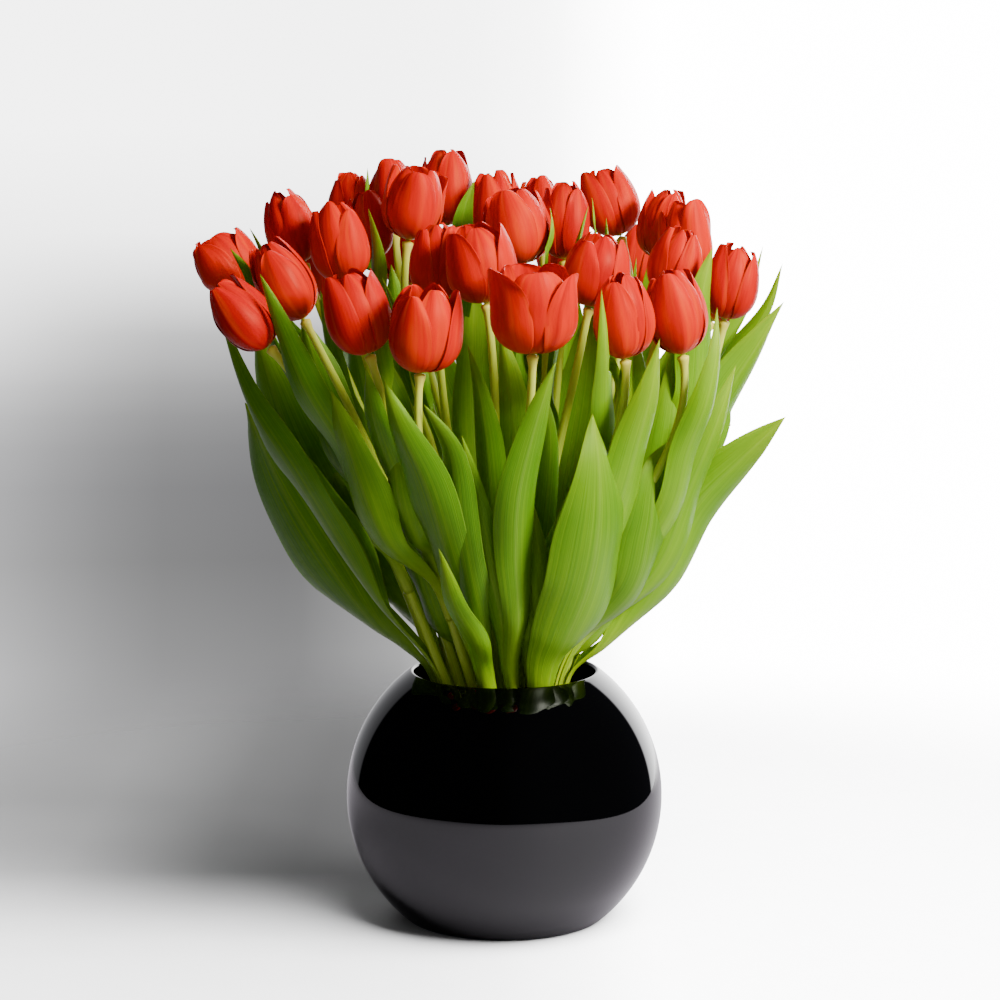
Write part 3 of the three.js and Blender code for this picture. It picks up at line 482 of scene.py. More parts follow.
PLACED_LEAVES = [
    # tulip, width, degrees turned about its own length, the points that its midrib passes after it has
    # left the stem, and the height where it leaves the stem if that isn't LEAF_FROM
    (1, 66, 60, [(-65, 1, 172), (-83, 4, 187), (-110, 8, 223), (-142, 12, 277), (-162, 0, 327)], 136),
    (1, 14, 30, [(-147, -32, 375), (-156, -36, 408), (-166, -36, 424)], 318),
    (4, 14, 30, [(-143, 10, 385), (-152, 14, 420), (-159, 14, 435)], 318),
    (2, 36, 30, [(-80, -28, 207), (-125, -42, 283), (-155, -38, 332), (-174, -25, 381)]),
    (4, 58, 50, [(-98, 22, 225), (-134, 29, 297), (-158, 16, 374)]),
    (2, 27, 20, [(-77, -52, 246), (-95, -72, 302), (-118, -86, 345), (-143, -90, 411)], 212),
    (3, 32, 50, [(-94, -22, 286), (-108, -28, 331), (-124, -30, 384)], 226),
    (4, 20, 40, [(-100, 10, 330), (-110, 12, 362), (-115, 12, 396)], 270),
    (4, 44, 50, [(-52, 10, 180), (-72, 14, 206), (-98, 20, 246), (-116, 24, 290)]),
    (5, 28, 10, [(-40, -26, 188), (-52, -36, 224), (-64, -42, 268)]),
    (5, 18, 40, [(-77, -18, 361), (-79, -10, 397), (-80, -4, 425), (-84, 0, 447)], 300),
    (7, 32, 15, [(-70, -72, 248), (-91, -86, 307), (-102, -94, 343)], 196),
    (7, 23, 0, [(-66, -84, 292), (-76, -98, 326), (-81, -108, 358)], 236),
    (7, 25, 0, [(-54, -70, 250), (-62, -84, 277), (-66, -92, 316)], 216),
    (8, 34, 0, [(-33, -84, 241), (-47, -104, 291), (-60, -114, 322), (-70, -116, 351)]),
    (8, 28, 0, [(-22, -82, 228), (-28, -96, 267), (-32, -108, 309), (-47, -114, 337)]),
    (8, 18, 0, [(-18, -72, 189), (-30, -88, 215), (-39, -97, 250)]),
    (9, 12, 0, [(-76, 40, 388), (-87, 46, 440), (-87, 50, 472)], 330),
    (9, 40, 90, [(-44, 16, 200), (-60, 24, 245), (-74, 30, 310)]),
    (10, 20, 90, [(-56, 12, 340), (-66, 18, 376), (-71, 18, 412)], 280),
    (11, 20, 0, [(-29, 40, 389), (-26, 38, 442), (-19, 38, 464)], 330),
    (12, 40, 80, [(-54, 22, 225), (-80, 30, 300), (-100, 34, 386)]),
    (13, 14, 0, [(-50, -38, 330), (-64, -42, 380), (-74, -42, 407)], 270),
    (14, 21, 0, [(-8, -60, 281), (-14, -72, 336), (-22, -72, 368)]),
    (14, 28, 0, [(6, -40, 284), (4, -42, 339), (-3, -38, 378)]),
    (15, 36, 0, [(-14, 40, 250), (-20, 50, 320), (-19, 56, 402)]),
    (16, 26, 0, [(14, -2, 300), (13, -6, 338), (11, -8, 376)], 240),
    (16, 10, 0, [(20, -12, 367), (26, -8, 416), (26, 0, 448)], 310),
    (17, 20, 0, [(-2, -70, 202), (-12, -88, 248), (-19, -99, 285), (-25, -108, 318)]),
    (17, 26, 0, [(8, -74, 202), (6, -94, 247), (8, -110, 285), (18, -122, 328), (29, -130, 363)]),
    (19, 36, 50, [(34, 20, 250), (47, 30, 320), (57, 38, 392)]),
    (21, 22, 0, [(28, -12, 330), (41, -2, 405), (52, 2, 449)], 270),
    (20, 12, 0, [(56, 40, 370), (57, 28, 430), (52, 30, 454)], 310),
    (20, 12, 0, [(66, 30, 390), (65, 30, 427), (64, 30, 441)], 330),
    (22, 21, 0, [(19, -60, 189), (18, -68, 221), (13, -72, 247)]),
    (22, 16, 0, [(24, -66, 200), (24, -74, 221), (19, -78, 252), (16, -78, 277)]),
    (21, 16, 0, [(24, -50, 261), (27, -60, 316), (21, -60, 346)]),
    (22, 21, 0, [(57, -86, 308), (58, -106, 345), (57, -124, 375), (55, -126, 404)]),
    (22, 36, 0, [(66, -84, 270), (77, -100, 314), (84, -111, 344), (89, -118, 375)]),
    (22, 56, 0, [(36, -68, 189), (48, -84, 223), (54, -100, 261), (54, -108, 298), (51, -106, 331)]),
    (23, 36, -20, [(77, -54, 218), (86, -66, 256), (90, -70, 293), (98, -60, 309)]),
    (23, 24, -20, [(98, -62, 265), (108, -78, 306), (118, -88, 336), (124, -86, 366), (125, -80, 391)]),
    (23, 30, -40, [(92, -42, 228), (112, -54, 282), (126, -60, 319), (139, -56, 355)]),
    (24, 18, -30, [(86, 20, 360), (90, 10, 400), (93, 8, 421)], 300),
    (24, 12, -30, [(80, 22, 366), (81, 12, 391), (82, 8, 417)], 310),
    (25, 16, -50, [(98, 22, 300), (128, 12, 350), (152, 12, 388), (161, 10, 424)]),
    (25, 18, -80, [(102, 34, 300), (136, 28, 345), (164, 16, 384), (173, 8, 413)]),
    (26, 38, -30, [(54, -24, 180), (68, -32, 206), (88, -38, 244), (104, -42, 290)], 136),
    (26, 16, -20, [(82, -46, 310), (81, -58, 355), (76, -60, 376)], 250),
    (26, 32, -45, [(89, -36, 258), (101, -42, 317), (104, -42, 374)]),
    (27, 42, -50, [(62, -15, 174), (78, -19, 191), (97, -26, 221), (115, -32, 264), (143, -36, 295),
                   (171, -40, 322)], 136),
    (27, 38, -60, [(108, -8, 275), (133, -8, 328), (155, -6, 362), (173, -4, 390)]),
    (27, 28, -30, [(113, -40, 332), (116, -50, 369), (118, -56, 400), (124, -56, 425)], 250),
    (28, 30, -20, [(78, 36, 250), (104, 50, 318), (124, 56, 366)]),
    (28, 34, -20, [(76, 36, 222), (115, 46, 284), (150, 50, 336)]),
    (34, 34, 0, [(66, 60, 240), (92, 84, 304), (110, 100, 356)]),
    (34, 38, 0, [(84, 58, 240), (122, 74, 304), (156, 84, 350)]),
]
OUTERMOST = 34 * MM  # a stem this far from the middle of the mouth stands outermost
OUTER_LEAVES = [  # angle off straight outward, off the stem low down, further at the tip, rise, width
    (-0.4, 6, 10, 236, 48),
    (0.3, 13, 30, 180, 46),
]
INNER_LEAVES = [(0.2, 6, 5, 232, 34)]
VARIED_ANGLE, VARIED_RISE, VARIED_WIDTH = 0.12, 20, 4
LEAF_FROM = 146 * MM  # the height at which a stem's uppermost leaf leaves it
LEAF_BELOW = 10 * MM  # from there down to where the next one leaves it
LEAF_HUG = 24 * MM  # a leaf stays beside its stem for this rise
ROOT_OFF = 3.2 * MM  # from the stem's middle to the midrib, where the leaf leaves it
LEAF_OFF = 6.2 * MM  # the same where it has hugged the stem
LEAF_NEST = 3 * MM  # and this much further out for each leaf above it on the stem
LEAF_ROWS = 60
LEAF_HALF = 10  # steps from the midrib to the margin
LEAF_THICKNESS = 0.9 * MM
BROAD_LEAF = 40  # a leaf this wide has the full wave and fold
LEAF_WAVE, LONG_WAVES, MARGIN_WAVES = 1.6 * MM, 2.2, 3.1
LEAF_FOLD = 1.5 * MM
LEAF_RIBS, RIB_COUNT = 0.07 * MM, 7
LEAF_TWIST = 0.28
ROOT_WIDTH = 9 * MM
ROOT_ROLL = 1.15
TIP_ROLL = 0.55
TIP_CLOSES, CLOSES_FROM = 0.35, 0.9  # the last tenth of the leaf rolls up by this much more
BROADEST = 0.6  # the share of its length at which a leaf is broadest
BLOOM_CLEAR = 2.5 * MM  # air between a leaf and a flower
LAYER = 1.3 * MM  # an outer petal stands this far outside the cup, and an inner one inside it
CUP_WIDEST = 0.42  # the share of its height at which a flower is widest


def smooth_spine(points, count):
    """A centripetal Catmull-Rom curve through the points: between two of them a cubic whose tangents
    weigh the neighbouring spans by the square root of their lengths. Evenly spaced along its length."""
    padded = np.concatenate([[2 * points[0] - points[1]], points, [2 * points[-1] - points[-2]]])
    spans = np.maximum(np.sqrt(np.linalg.norm(np.diff(padded, axis=0), axis=1)), 1e-6)
    t = np.linspace(0, 1, 41)[:, None]
    pieces = []
    for i in range(len(points) - 1):
        p0, p1, p2, p3 = padded[i:i + 4]
        d0, d1, d2 = spans[i:i + 3]
        m1 = ((p1 - p0) / d0 - (p2 - p0) / (d0 + d1) + (p2 - p1) / d1) * d1
        m2 = ((p2 - p1) / d1 - (p3 - p1) / (d1 + d2) + (p3 - p2) / d2) * d1
        pieces.append((2 * t**3 - 3 * t**2 + 1) * p1 + (t**3 - 2 * t**2 + t) * m1
                      + (3 * t**2 - 2 * t**3) * p2 + (t**3 - t**2) * m2)
    return resampled(np.concatenate(pieces), np.linspace(0, 1, count))


def cup_radius(tulip, height):
    """The flower's radius at a share of its height: wide * sqrt(1 - (1 - h / W)^2) below the widest
    place W, and above it a parabola that falls, or flares, to open * wide at the flower's mouth."""
    low = np.sqrt(np.clip(1 - (1 - height / CUP_WIDEST) ** 2, 0, None))
    high = 1 - (1 - tulip["open"]) * ((height - CUP_WIDEST) / (1 - CUP_WIDEST)) ** 2
    return tulip["wide"] * np.where(height < CUP_WIDEST, low, high)


def clear_of_blooms(points):
    """Points that would lie in a flower are moved straight out from its axis, to BLOOM_CLEAR off it."""
    for tulip in tulips:
        from_base = points - tulip["base"]
        height = from_base @ tulip["axis"]
        out = from_base - height[..., None] * tulip["axis"]
        distance = np.linalg.norm(out, axis=-1)
        share = np.clip(height / tulip["long"], 0.12, 1)
        fade = np.clip((height + 3 * BLOOM_CLEAR) / (2 * BLOOM_CLEAR), 0, 1)
        fade = fade * np.clip((tulip["long"] + 3 * BLOOM_CLEAR - height) / (2 * BLOOM_CLEAR), 0, 1)
        least = (cup_radius(tulip, share) + LAYER + BLOOM_CLEAR) * fade
        short = np.maximum(least - distance, 0)
        points = points + out / np.maximum(distance, 1e-9)[..., None] * short[..., None]
    return points


def within_the_mouth(points):
    """Points below the lip are kept to the inside of the glass: their distance from Z is at most the
    inner wall's, sqrt(R^2 - (z - BALL_HEIGHT)^2), less a little air. Above the lip the limit opens."""
    inner = BALL_RADIUS - GLASS - 1.2 * MM
    height = np.minimum(points[..., 2], MOUTH_HEIGHT - 2.5 * MM) - BALL_HEIGHT
    most = np.sqrt(np.maximum(inner**2 - height**2, 0))
    most = most + np.maximum(points[..., 2] - MOUTH_HEIGHT - 1 * MM, 0) * 1.5
    distance = np.linalg.norm(points[..., :2], axis=-1)
    shrink = np.minimum(1, most / np.maximum(distance, 1e-9))
    return points * np.stack([shrink, shrink, np.ones_like(shrink)], -1)


def margin_to_margin(half):
    """Steps from -1 at one margin to 1 at the other, closer together towards the margins."""
    return np.sin(np.pi / 2 * np.linspace(-1, 1, 2 * half + 1))[None]


def two_faced(middle, half, v):
    """The skin of a strip: each point of its middle is moved by half along the surface's normal for
    the front and against it for the back. U runs from margin to margin, and V is v."""
    normal = unit(np.cross(np.gradient(middle, axis=0), np.gradient(middle, axis=1)) + 1e-12)
    front = middle + normal * half[..., None]
    under = middle - normal * half[..., None]
    rings = np.concatenate([front, under[:, -2:0:-1]], axis=1)[:-1]
    u = (np.linspace(-1, 1, middle.shape[1]) + 1) / 2
    across = np.concatenate([u, u[-2:0:-1], u[:1]])
    return skin(rings, rings[0].mean(0), middle[-1].mean(0), across, v[:-1, 0])


def leaf_skin(of, wide, turn, path, own_height, nested, rng):
    """A strip rolled round its midrib: point(v, s) = spine(v) + across * r sin(s roll)
    - back * r (1 - cos(s roll)), with r = width / (2 roll). The width grows as a sine to the broadest
    place and falls as a parabola to the tip. On top come a fold along the midrib, a slow twist and
    waves that grow towards the margins. The two faces stand a thickness apart that fades at the margin."""
    stem = tulips[of - 1]["line"]
    waypoints = np.array(path, float) * MM
    first, tip = waypoints[0], waypoints[-1]
    outward = unit((first - at_height(stem, first[2])) * [1, 1, 0])
    root_height = own_height[0] * MM if own_height else LEAF_FROM
    start = at_height(stem, root_height - nested * LEAF_BELOW) + outward * ROOT_OFF
    hug = at_height(stem, root_height + LEAF_HUG) + outward * (LEAF_OFF + nested * LEAF_NEST)
    spine = smooth_spine(np.stack([start, hug, *waypoints]), LEAF_ROWS)
    v = np.linspace(0, 1, LEAF_ROWS)[:, None]
    rising = np.sin(np.pi / 2 * np.minimum(1, v / BROADEST)) ** 1.8
    falling = 1 - np.maximum(0, (v - BROADEST) / (1 - BROADEST)) ** 2
    facing = unit(tip * [1, 1, 0])
    facing = turned_about(facing, np.array([0, 0, 1.0]), math.radians(turn))
    back = outward + (facing - outward) * (3 * rising**2 - 2 * rising**3)
    along, back, _ = side_frames(spine, back)
    twist = rng.uniform(-LEAF_TWIST, LEAF_TWIST) * v**2
    across = np.cross(along, back)
    across, back = (across * np.cos(twist) + back * np.sin(twist),
                    back * np.cos(twist) - across * np.sin(twist))
    width = (ROOT_WIDTH * (1 - rising) + wide * MM * rising) * falling
    roll = ROOT_ROLL + (TIP_ROLL - ROOT_ROLL) * rising + TIP_CLOSES * np.maximum(0, v - CLOSES_FROM) / 0.1
    radius = width / (2 * roll)
    s = margin_to_margin(LEAF_HALF)
    sway = rng.uniform(0, 2 * np.pi, 3)
    size = min(1, wide / BROAD_LEAF)
    wave = LEAF_WAVE * size * falling * rising * (
        s**2 * np.sin(2 * np.pi * LONG_WAVES * v + sway[0])
        + s**2 * np.sign(s) * np.sin(2 * np.pi * MARGIN_WAVES * v + sway[1]))
    fold = LEAF_FOLD * size * rising * falling * (np.sqrt(s**2 + 0.012) - 1)
    ribs = LEAF_RIBS * falling * np.cos(2 * np.pi * RIB_COUNT * s)
    lift = -radius * (1 - np.cos(s * roll)) - fold + wave + ribs
    middle = (spine[:, None] + across[:, None] * (radius * np.sin(s * roll))[..., None]
              + back[:, None] * lift[..., None])
    half = LEAF_THICKNESS / 2 * (1 - 0.8 * s**4) * np.clip((1 - v) / 0.1, 0.25, 1)
    return two_faced(within_the_mouth(clear_of_blooms(middle)), half, v)


def further_leaves():
    """Tulips with no leaf listed: one that stands outermost has a broad leaf to either side,
    and one inside the bunch a slim leaf close to its stem. They vary as a sine of their number."""
    placed = {row[0] for row in PLACED_LEAVES}
    for of, tulip in enumerate(tulips, 1):
        if of in placed:
            continue
        mouth = tulip["mouth"]
        outward = math.atan2(mouth[1], mouth[0])
        kinds = OUTER_LEAVES if math.hypot(mouth[0], mouth[1]) > OUTERMOST else INNER_LEAVES
        for kind, (aside, off, reach, tall, wide) in enumerate(kinds):
            vary = math.sin(5 * of + 2 * kind)
            angle = outward + aside + VARIED_ANGLE * vary
            path = []
            for share in (0.4, 0.7, 1):
                height = MOUTH_HEIGHT / MM + share * (tall + VARIED_RISE * vary)
                point = at_height(tulip["line"], height * MM) / MM
                out = off + reach * share * share
                path.append((point[0] + out * math.cos(angle), point[1] + out * math.sin(angle), height))
            yield of, wide + VARIED_WIDTH * vary, 0, path


def from_midrib(tree, across):
    """How far off the midrib a place lies, as a share of the whole width: |across - 0.5|."""
    off = put(tree, "ShaderNodeMath", {0: across, 1: 0.5}, operation="SUBTRACT").outputs[0]
    return put(tree, "ShaderNodeMath", {0: off}, operation="ABSOLUTE").outputs[0]


green_leaf, tree, shader = finish_of(
    "green_leaf", Subsurface_Weight=0.25, Subsurface_Scale=0.003, Subsurface_Radius=(0.7, 1.0, 0.1),
    Specular_IOR_Level=0.32, Specular_Tint=(0.8, 1.0, 0.35, 1)
)
across, along = own_ways(tree)
tone = put(tree, "ShaderNodeAttribute", attribute_name="tone").outputs["Fac"]
# A lit yellow-green copy of the blade's colour and a darker, bluer waxy copy. Each leaf's tone mixes them:
# partly a real difference between leaves, partly painted shade.
lit = ramp(tree, along, [
    (0.0, (0.58, 0.66, 0.06)), (0.12, (0.42, 0.58, 0.004)), (0.35, (0.22, 0.44, 0.002)),
    (0.75, (0.145, 0.33, 0.002)), (1.0, (0.28, 0.42, 0.006))])
waxy_and_painted_shade = ramp(tree, along, [
    (0.0, (0.34, 0.46, 0.05)), (0.12, (0.14, 0.30, 0.006)), (0.4, (0.045, 0.15, 0.003)),
    (0.85, (0.05, 0.17, 0.004)), (1.0, (0.15, 0.27, 0.01))])
blade = mixed(tree, tone, lit, waxy_and_painted_shade)
veins = noise(tree, own_uv(tree, (60.0, 0.9, 1.0)), 1.0, 3.0)
blade = mixed(tree, ramp(tree, veins, [(0.45, 0.0), (0.72, 0.28)]), blade, (0.34, 0.54, 0.01))
blade = mixed(tree, ramp(tree, veins, [(0.28, 0.35), (0.46, 0.0)]), blade, (0.04, 0.15, 0.002))
blotches = noise(tree, own_uv(tree, (3.0, 2.0, 1.0)), 1.6, 5.0)
blade = mixed(tree, ramp(tree, blotches, [(0.42, 0.0), (0.72, 0.45)]), blade, (0.07, 0.22, 0.004))
from_rib = from_midrib(tree, across)
blade = mixed(tree, ramp(tree, from_rib, [(0.0, 0.22), (0.03, 0.0)]), blade, (0.36, 0.5, 0.06))
blade = mixed(tree, ramp(tree, from_rib, [(0.485, 0.0), (0.5, 0.7)]), blade, (0.55, 0.66, 0.16))
feed(shader, Base_Color=blade, Roughness=ramp(tree, veins, [(0.3, 0.34), (0.7, 0.46)]),
     Normal=relief(tree, veins, 0.45, 0.5 * MM))

rng = np.random.default_rng(7)
grown, low = {}, {}
for of, wide, turn, path, *own_height in [*PLACED_LEAVES, *further_leaves()]:
    order = grown[of] = grown.get(of, 0) + 1
    nested = 0 if own_height else low.get(of, 0)
    low[of] = low.get(of, 0) + (not own_height)
    number = tulips[of - 1]["number"]
    # Painted shade: leaves further to the left lean towards the darker copy, as if in the shade of the
    # bunch.
    leftness = np.clip(-path[-1][0] / 130, 0, 1)
    marks = {"tone": float(np.clip(rng.uniform(-0.15, 0.75) + 0.45 * leftness, 0, 1))}
    blade_skin = leaf_skin(of, wide, turn, path, own_height, nested, rng)
    piece(f"leaf_{number}_{order}", [blade_skin], green_leaf, green_nodes[number], [marks])


# ---- The flowers ---------------------------------------------------------------------------------
# Each is a cup of three outer and three inner petals that overlap like roof tiles, satiny, thin at the
# rim and thicker along the middle. The petals grow from the stem's seat with yellow feet.

PETAL_ROWS = 30
PETAL_HALF = 9
PETAL_THICKNESS = 0.7 * MM
PETAL_SPREAD = 0.95
OUTER_TALL, INNER_TALL = (0.86, 0.99), (0.97, 1.02)  # ranges, as shares of the flower's length
OUTER_SPLAY = (-0.10, 0.07)
OUTER_BLUNT, INNER_BLUNT = (0.30, 0.44), 0.25
PETAL_FOOT = 2.8 * MM
PETAL_START = 0.14
PETAL_GROOVE, GROOVE_WIDTH = 0.5 * MM, 0.14
PETAL_BULGE = 0.9 * MM
OUTER_TUCK, INNER_TUCK = 0.5 * MM, -0.3 * MM
PETAL_CURL, PETAL_FRILL = 1.4 * MM, 0.9 * MM
KNOB_HEIGHT = 4 * MM
TONE_APART = 40.0  # a petal's streaks are taken from the noise at its tone times this
FACING_A_GAP = ("17",)  # flowers that turn an inner petal to the viewer, between two outer ones


def petal_skin(tulip, sixth, swapped, rng):
    """A petal follows the cup round the flower's axis from its foot to its tip, a layer's distance off
    it. Half its angle round is spread * sin(pi (START + (1 - START) v))^bluntness. An outer petal is
    shorter and narrows sooner, and its top leans in or out. An inner one is broad and bends over the
    flower's heart. Both do so by splay * wide * a power of top, and margins curl as sines of v and s."""
    outer = (sixth + swapped) % 2 == 0
    layer = LAYER if outer else -LAYER
    tall = rng.uniform(*(OUTER_TALL if outer else INNER_TALL))
    closed = min(0.32, tulip["open"] - 0.34) * rng.uniform(0.8, 1.2)
    splay = rng.uniform(*OUTER_SPLAY) if outer else -closed
    lean = rng.uniform(-0.16, 0.16)
    spread = PETAL_SPREAD * (rng.uniform(0.86, 1.0) if outer else 1.04)
    bluntness = rng.uniform(*OUTER_BLUNT) if outer else INNER_BLUNT
    angle = sixth * np.pi / 3 + rng.uniform(-0.07, 0.07)
    v = 1 - (1 - np.linspace(0, 1, PETAL_ROWS)[:, None]) ** 1.7
    s = margin_to_margin(PETAL_HALF)
    foot_turn = math.asin(PETAL_FOOT / tulip["wide"]) / np.pi
    turn = foot_turn + (1 - foot_turn) * v
    slope = np.pi * np.minimum(turn, 0.5)
    height = CUP_WIDEST * (1 - np.cos(slope)) + (1 - CUP_WIDEST) * np.maximum(0, 2 * turn - 1)
    leaving = np.minimum(1, 4 * v)
    full = spread * np.sin(np.pi * (PETAL_START + (1 - PETAL_START) * v)) ** bluntness
    round_way = angle + s * (np.pi / 6 + (full - np.pi / 6) * leaving) + lean * height**2
    off = layer * leaving
    groove = PETAL_GROOVE * np.exp(-(s / GROOVE_WIDTH) ** 2) * np.sin(np.pi * v)
    bulge = PETAL_BULGE * np.cos(np.pi * s) * np.sin(np.pi * v) ** 0.7
    tuck = (OUTER_TUCK if outer else INNER_TUCK) * s**2 * leaving
    curl = (PETAL_CURL * np.sin(7 * v + 4 * s + 2 * sixth + 5 * angle) * s**2
            + PETAL_FRILL * np.sin(11 * v + 3 * angle) * np.sign(s) * s**2) * v**1.5
    top = np.clip((height - 0.5) / 0.5, 0, 1)
    bending = splay * tulip["wide"] * top ** (1.6 if outer else 2.2)
    radius = cup_radius(tulip, height) + off * np.sin(slope) - groove + bulge - tuck + curl + bending
    rise = KNOB_HEIGHT / 2 + tulip["long"] * (tall * height - abs(splay) * 0.12 * top**3)
    rise = rise - off * np.cos(slope)
    middle = (tulip["base"] + tulip["axis"] * (rise + 0 * s)[..., None]
              + tulip["across"] * (radius * np.cos(round_way))[..., None]
              + tulip["over"] * (radius * np.sin(round_way))[..., None])
    return two_faced(middle, PETAL_THICKNESS / 2 * (1 - 0.75 * s**4) * (1 - 0.6 * v**3), v)


red_petal, tree, shader = finish_of(
    "red_petal", Subsurface_Weight=0.15, Subsurface_Scale=0.003, Subsurface_Radius=(1.0, 0.03, 0.02),
    Specular_IOR_Level=0.22, Specular_Tint=(1.0, 0.32, 0.16, 1)
)
across, along = own_ways(tree)
tone = put(tree, "ShaderNodeAttribute", attribute_name="tone").outputs["Fac"]
crimson = ramp(tree, along, [
    (0.0, (0.66, 0.40, 0.02)), (0.02, (0.62, 0.10, 0.004)), (0.06, (0.56, 0.002, 0.004)),
    (0.5, (0.46, 0.0004, 0.003)), (1.0, (0.56, 0.0006, 0.003))])
flame = ramp(tree, along, [
    (0.0, (0.76, 0.48, 0.02)), (0.03, (0.76, 0.16, 0.004)), (0.10, (0.71, 0.03, 0.001)),
    (0.5, (0.69, 0.016, 0.0006)), (1.0, (0.72, 0.008, 0.001))])
petal = mixed(tree, tone, crimson, flame)
apart = put(tree, "ShaderNodeMath", {0: tone, 1: TONE_APART}, operation="MULTIPLY").outputs[0]
apart = put(tree, "ShaderNodeCombineXYZ", {"Z": apart}).outputs["Vector"]
streak_way = put(tree, "ShaderNodeVectorMath", {0: own_uv(tree, (5.5, 0.6, 1.0)), 1: apart})
streaks = noise(tree, streak_way.outputs["Vector"], 1.5, 5.0)
petal = mixed(tree, ramp(tree, streaks, [(0.5, 0.0), (0.75, 0.6)]), petal, (0.86, 0.07, 0.001))
petal = mixed(tree, ramp(tree, streaks, [(0.25, 0.7), (0.46, 0.0)]), petal, (0.30, 0.0002, 0.003))
petal = mixed(tree, ramp(tree, from_midrib(tree, across), [(0.0, 0.3), (0.06, 0.0)]), petal,
              (0.38, 0.0002, 0.004))
feed(shader, Base_Color=petal, Roughness=ramp(tree, streaks, [(0.3, 0.40), (0.7, 0.52)]),
     Normal=relief(tree, streaks, 0.3, 1.5 * MM))

rng = np.random.default_rng(11)
for tulip in tulips:
    swapped = tulip["number"] in FACING_A_GAP
    petals = [petal_skin(tulip, sixth, swapped, rng) for sixth in range(6)]
    # Partly random hue, partly painted light: flowers further right lean to the brighter flame colour,
    # those further left to the darker crimson.
    hue_and_painted_light = rng.uniform(0.1, 0.6) + 0.3 * np.clip((tulip["base"][0] + 0.1) / 0.2, 0, 1)
    marks = [{"tone": float(np.clip(hue_and_painted_light + rng.uniform(-0.15, 0.25), 0, 1))} for _ in petals]
    piece("petals_" + tulip["number"], petals, red_petal, "bloom_" + tulip["number"], marks)


# ---- The hearts of the flowers -------------------------------------------------------------------
# A pale green pistil with a three-lobed top, and six stamens round it: a thin filament that carries a
# long dark anther dusted with pollen. They stand free in the cup on the same seat as the petals.

STAMEN_RING = 4.2 * MM
USUAL_FLOWER = 50 * MM  # the hearts' heights are those of a flower this long


def round_skin(tulip, out, angle, heights, radii, lobes=0.0, points=12):
    """Rings of the radii at the heights above the flower's base, round a line parallel to its axis at
    the distance out and the angle from it. Three lobes widen the upper rings by 1 + lobes * cos 3a."""
    turn = 2 * np.pi * np.arange(points) / points
    swell = 1 + np.linspace(0, lobes, len(radii))[:, None] * np.cos(3 * turn)
    reach = radii[:, None] * swell
    side = out * math.cos(angle) + reach * np.cos(turn)
    other = out * math.sin(angle) + reach * np.sin(turn)
    rings = (tulip["base"] + tulip["axis"] * heights[:, None, None] + tulip["across"] * side[..., None]
             + tulip["over"] * other[..., None])
    centre = tulip["base"] + out * (tulip["across"] * math.cos(angle) + tulip["over"] * math.sin(angle))
    return skin(rings, centre + tulip["axis"] * heights[0], centre + tulip["axis"] * heights[-1])


green_pistil, tree, shader = finish_of("green_pistil", Roughness=0.5, Subsurface_Weight=0.2,
                                       Subsurface_Scale=0.003)
pale = ramp(tree, own_ways(tree)[1], [
    (0.0, (0.42, 0.52, 0.14)), (0.75, (0.48, 0.58, 0.2)), (1.0, (0.78, 0.7, 0.32))])
fuzz = ramp(tree, noise(tree, own_uv(tree), 30.0), [(0.4, 0.0), (0.8, 0.5)])
feed(shader, Base_Color=mixed(tree, fuzz, pale, (0.72, 0.74, 0.4)))

dark_anther, tree, shader = finish_of("dark_anther", Roughness=0.8)
stalked = ramp(tree, own_ways(tree)[1], [
    (0.0, (0.6, 0.5, 0.12)), (0.4, (0.5, 0.35, 0.1)), (0.46, (0.03, 0.018, 0.03)),
    (1.0, (0.045, 0.025, 0.04))])
dust = ramp(tree, noise(tree, own_uv(tree), 60.0), [(0.5, 0.0), (0.8, 0.6)])
feed(shader, Base_Color=mixed(tree, dust, stalked, (0.35, 0.27, 0.12)))

for tulip in tulips:
    size = tulip["long"] / USUAL_FLOWER
    pistil = round_skin(
        tulip, 0, 0, np.array([1.5, 5, 10, 14, 16.5, 17.5, 18.6, 19]) * MM * size,
        np.array([1.8, 2.5, 2.5, 2.1, 1.9, 2.9, 2.6, 1.2]) * MM, lobes=0.35, points=18)
    piece("pistil_" + tulip["number"], [pistil], green_pistil, "bloom_" + tulip["number"])
    stamens = [
        round_skin(tulip, STAMEN_RING, np.pi / 6 + k * np.pi / 3,
                   np.array([2.6, 4.5, 8.5, 9.2, 11, 15, 17, 17.6]) * MM * size,
                   np.array([0.7, 0.6, 0.5, 0.9, 1.3, 1.2, 0.9, 0.4]) * MM, points=8)
        for k in range(6)
    ]
    piece("stamens_" + tulip["number"], stamens, dark_anther, "bloom_" + tulip["number"])


# ---- The floor -----------------------------------------------------------------------------------
# A white table top that fades into pale air further off. Painted shade darkens it further back and to
# the left, with a painted shadow of the bunch just left of the vase. Mirror-like surfaces see it darker,
# as the black glass does, and not at all beyond a rounded edge, where the dark room begins.

TABLE_LEFT, TABLE_RIGHT = 600 * MM, 480 * MM
TABLE_FRONT, TABLE_BACK = 670 * MM, 1400 * MM
TABLE_POWER = 2.6
FLOOR_REACH = 3.2
FLOOR_PINHOLE = 0.0001
FADES_FROM, FADES_TO = 450 * MM, 900 * MM


def share_of(tree, value, low, high, **settings):
    """How far the value is on its way from low to high, as a share from 0 to 1."""
    inputs = {"Value": value, "From Min": low, "From Max": high}
    return put(tree, "ShaderNodeMapRange", inputs, **settings).outputs["Result"]


def times(tree, first, second):
    """The product of two colours, channel by channel."""
    return mixed(tree, 1.0, first, second, "MULTIPLY")


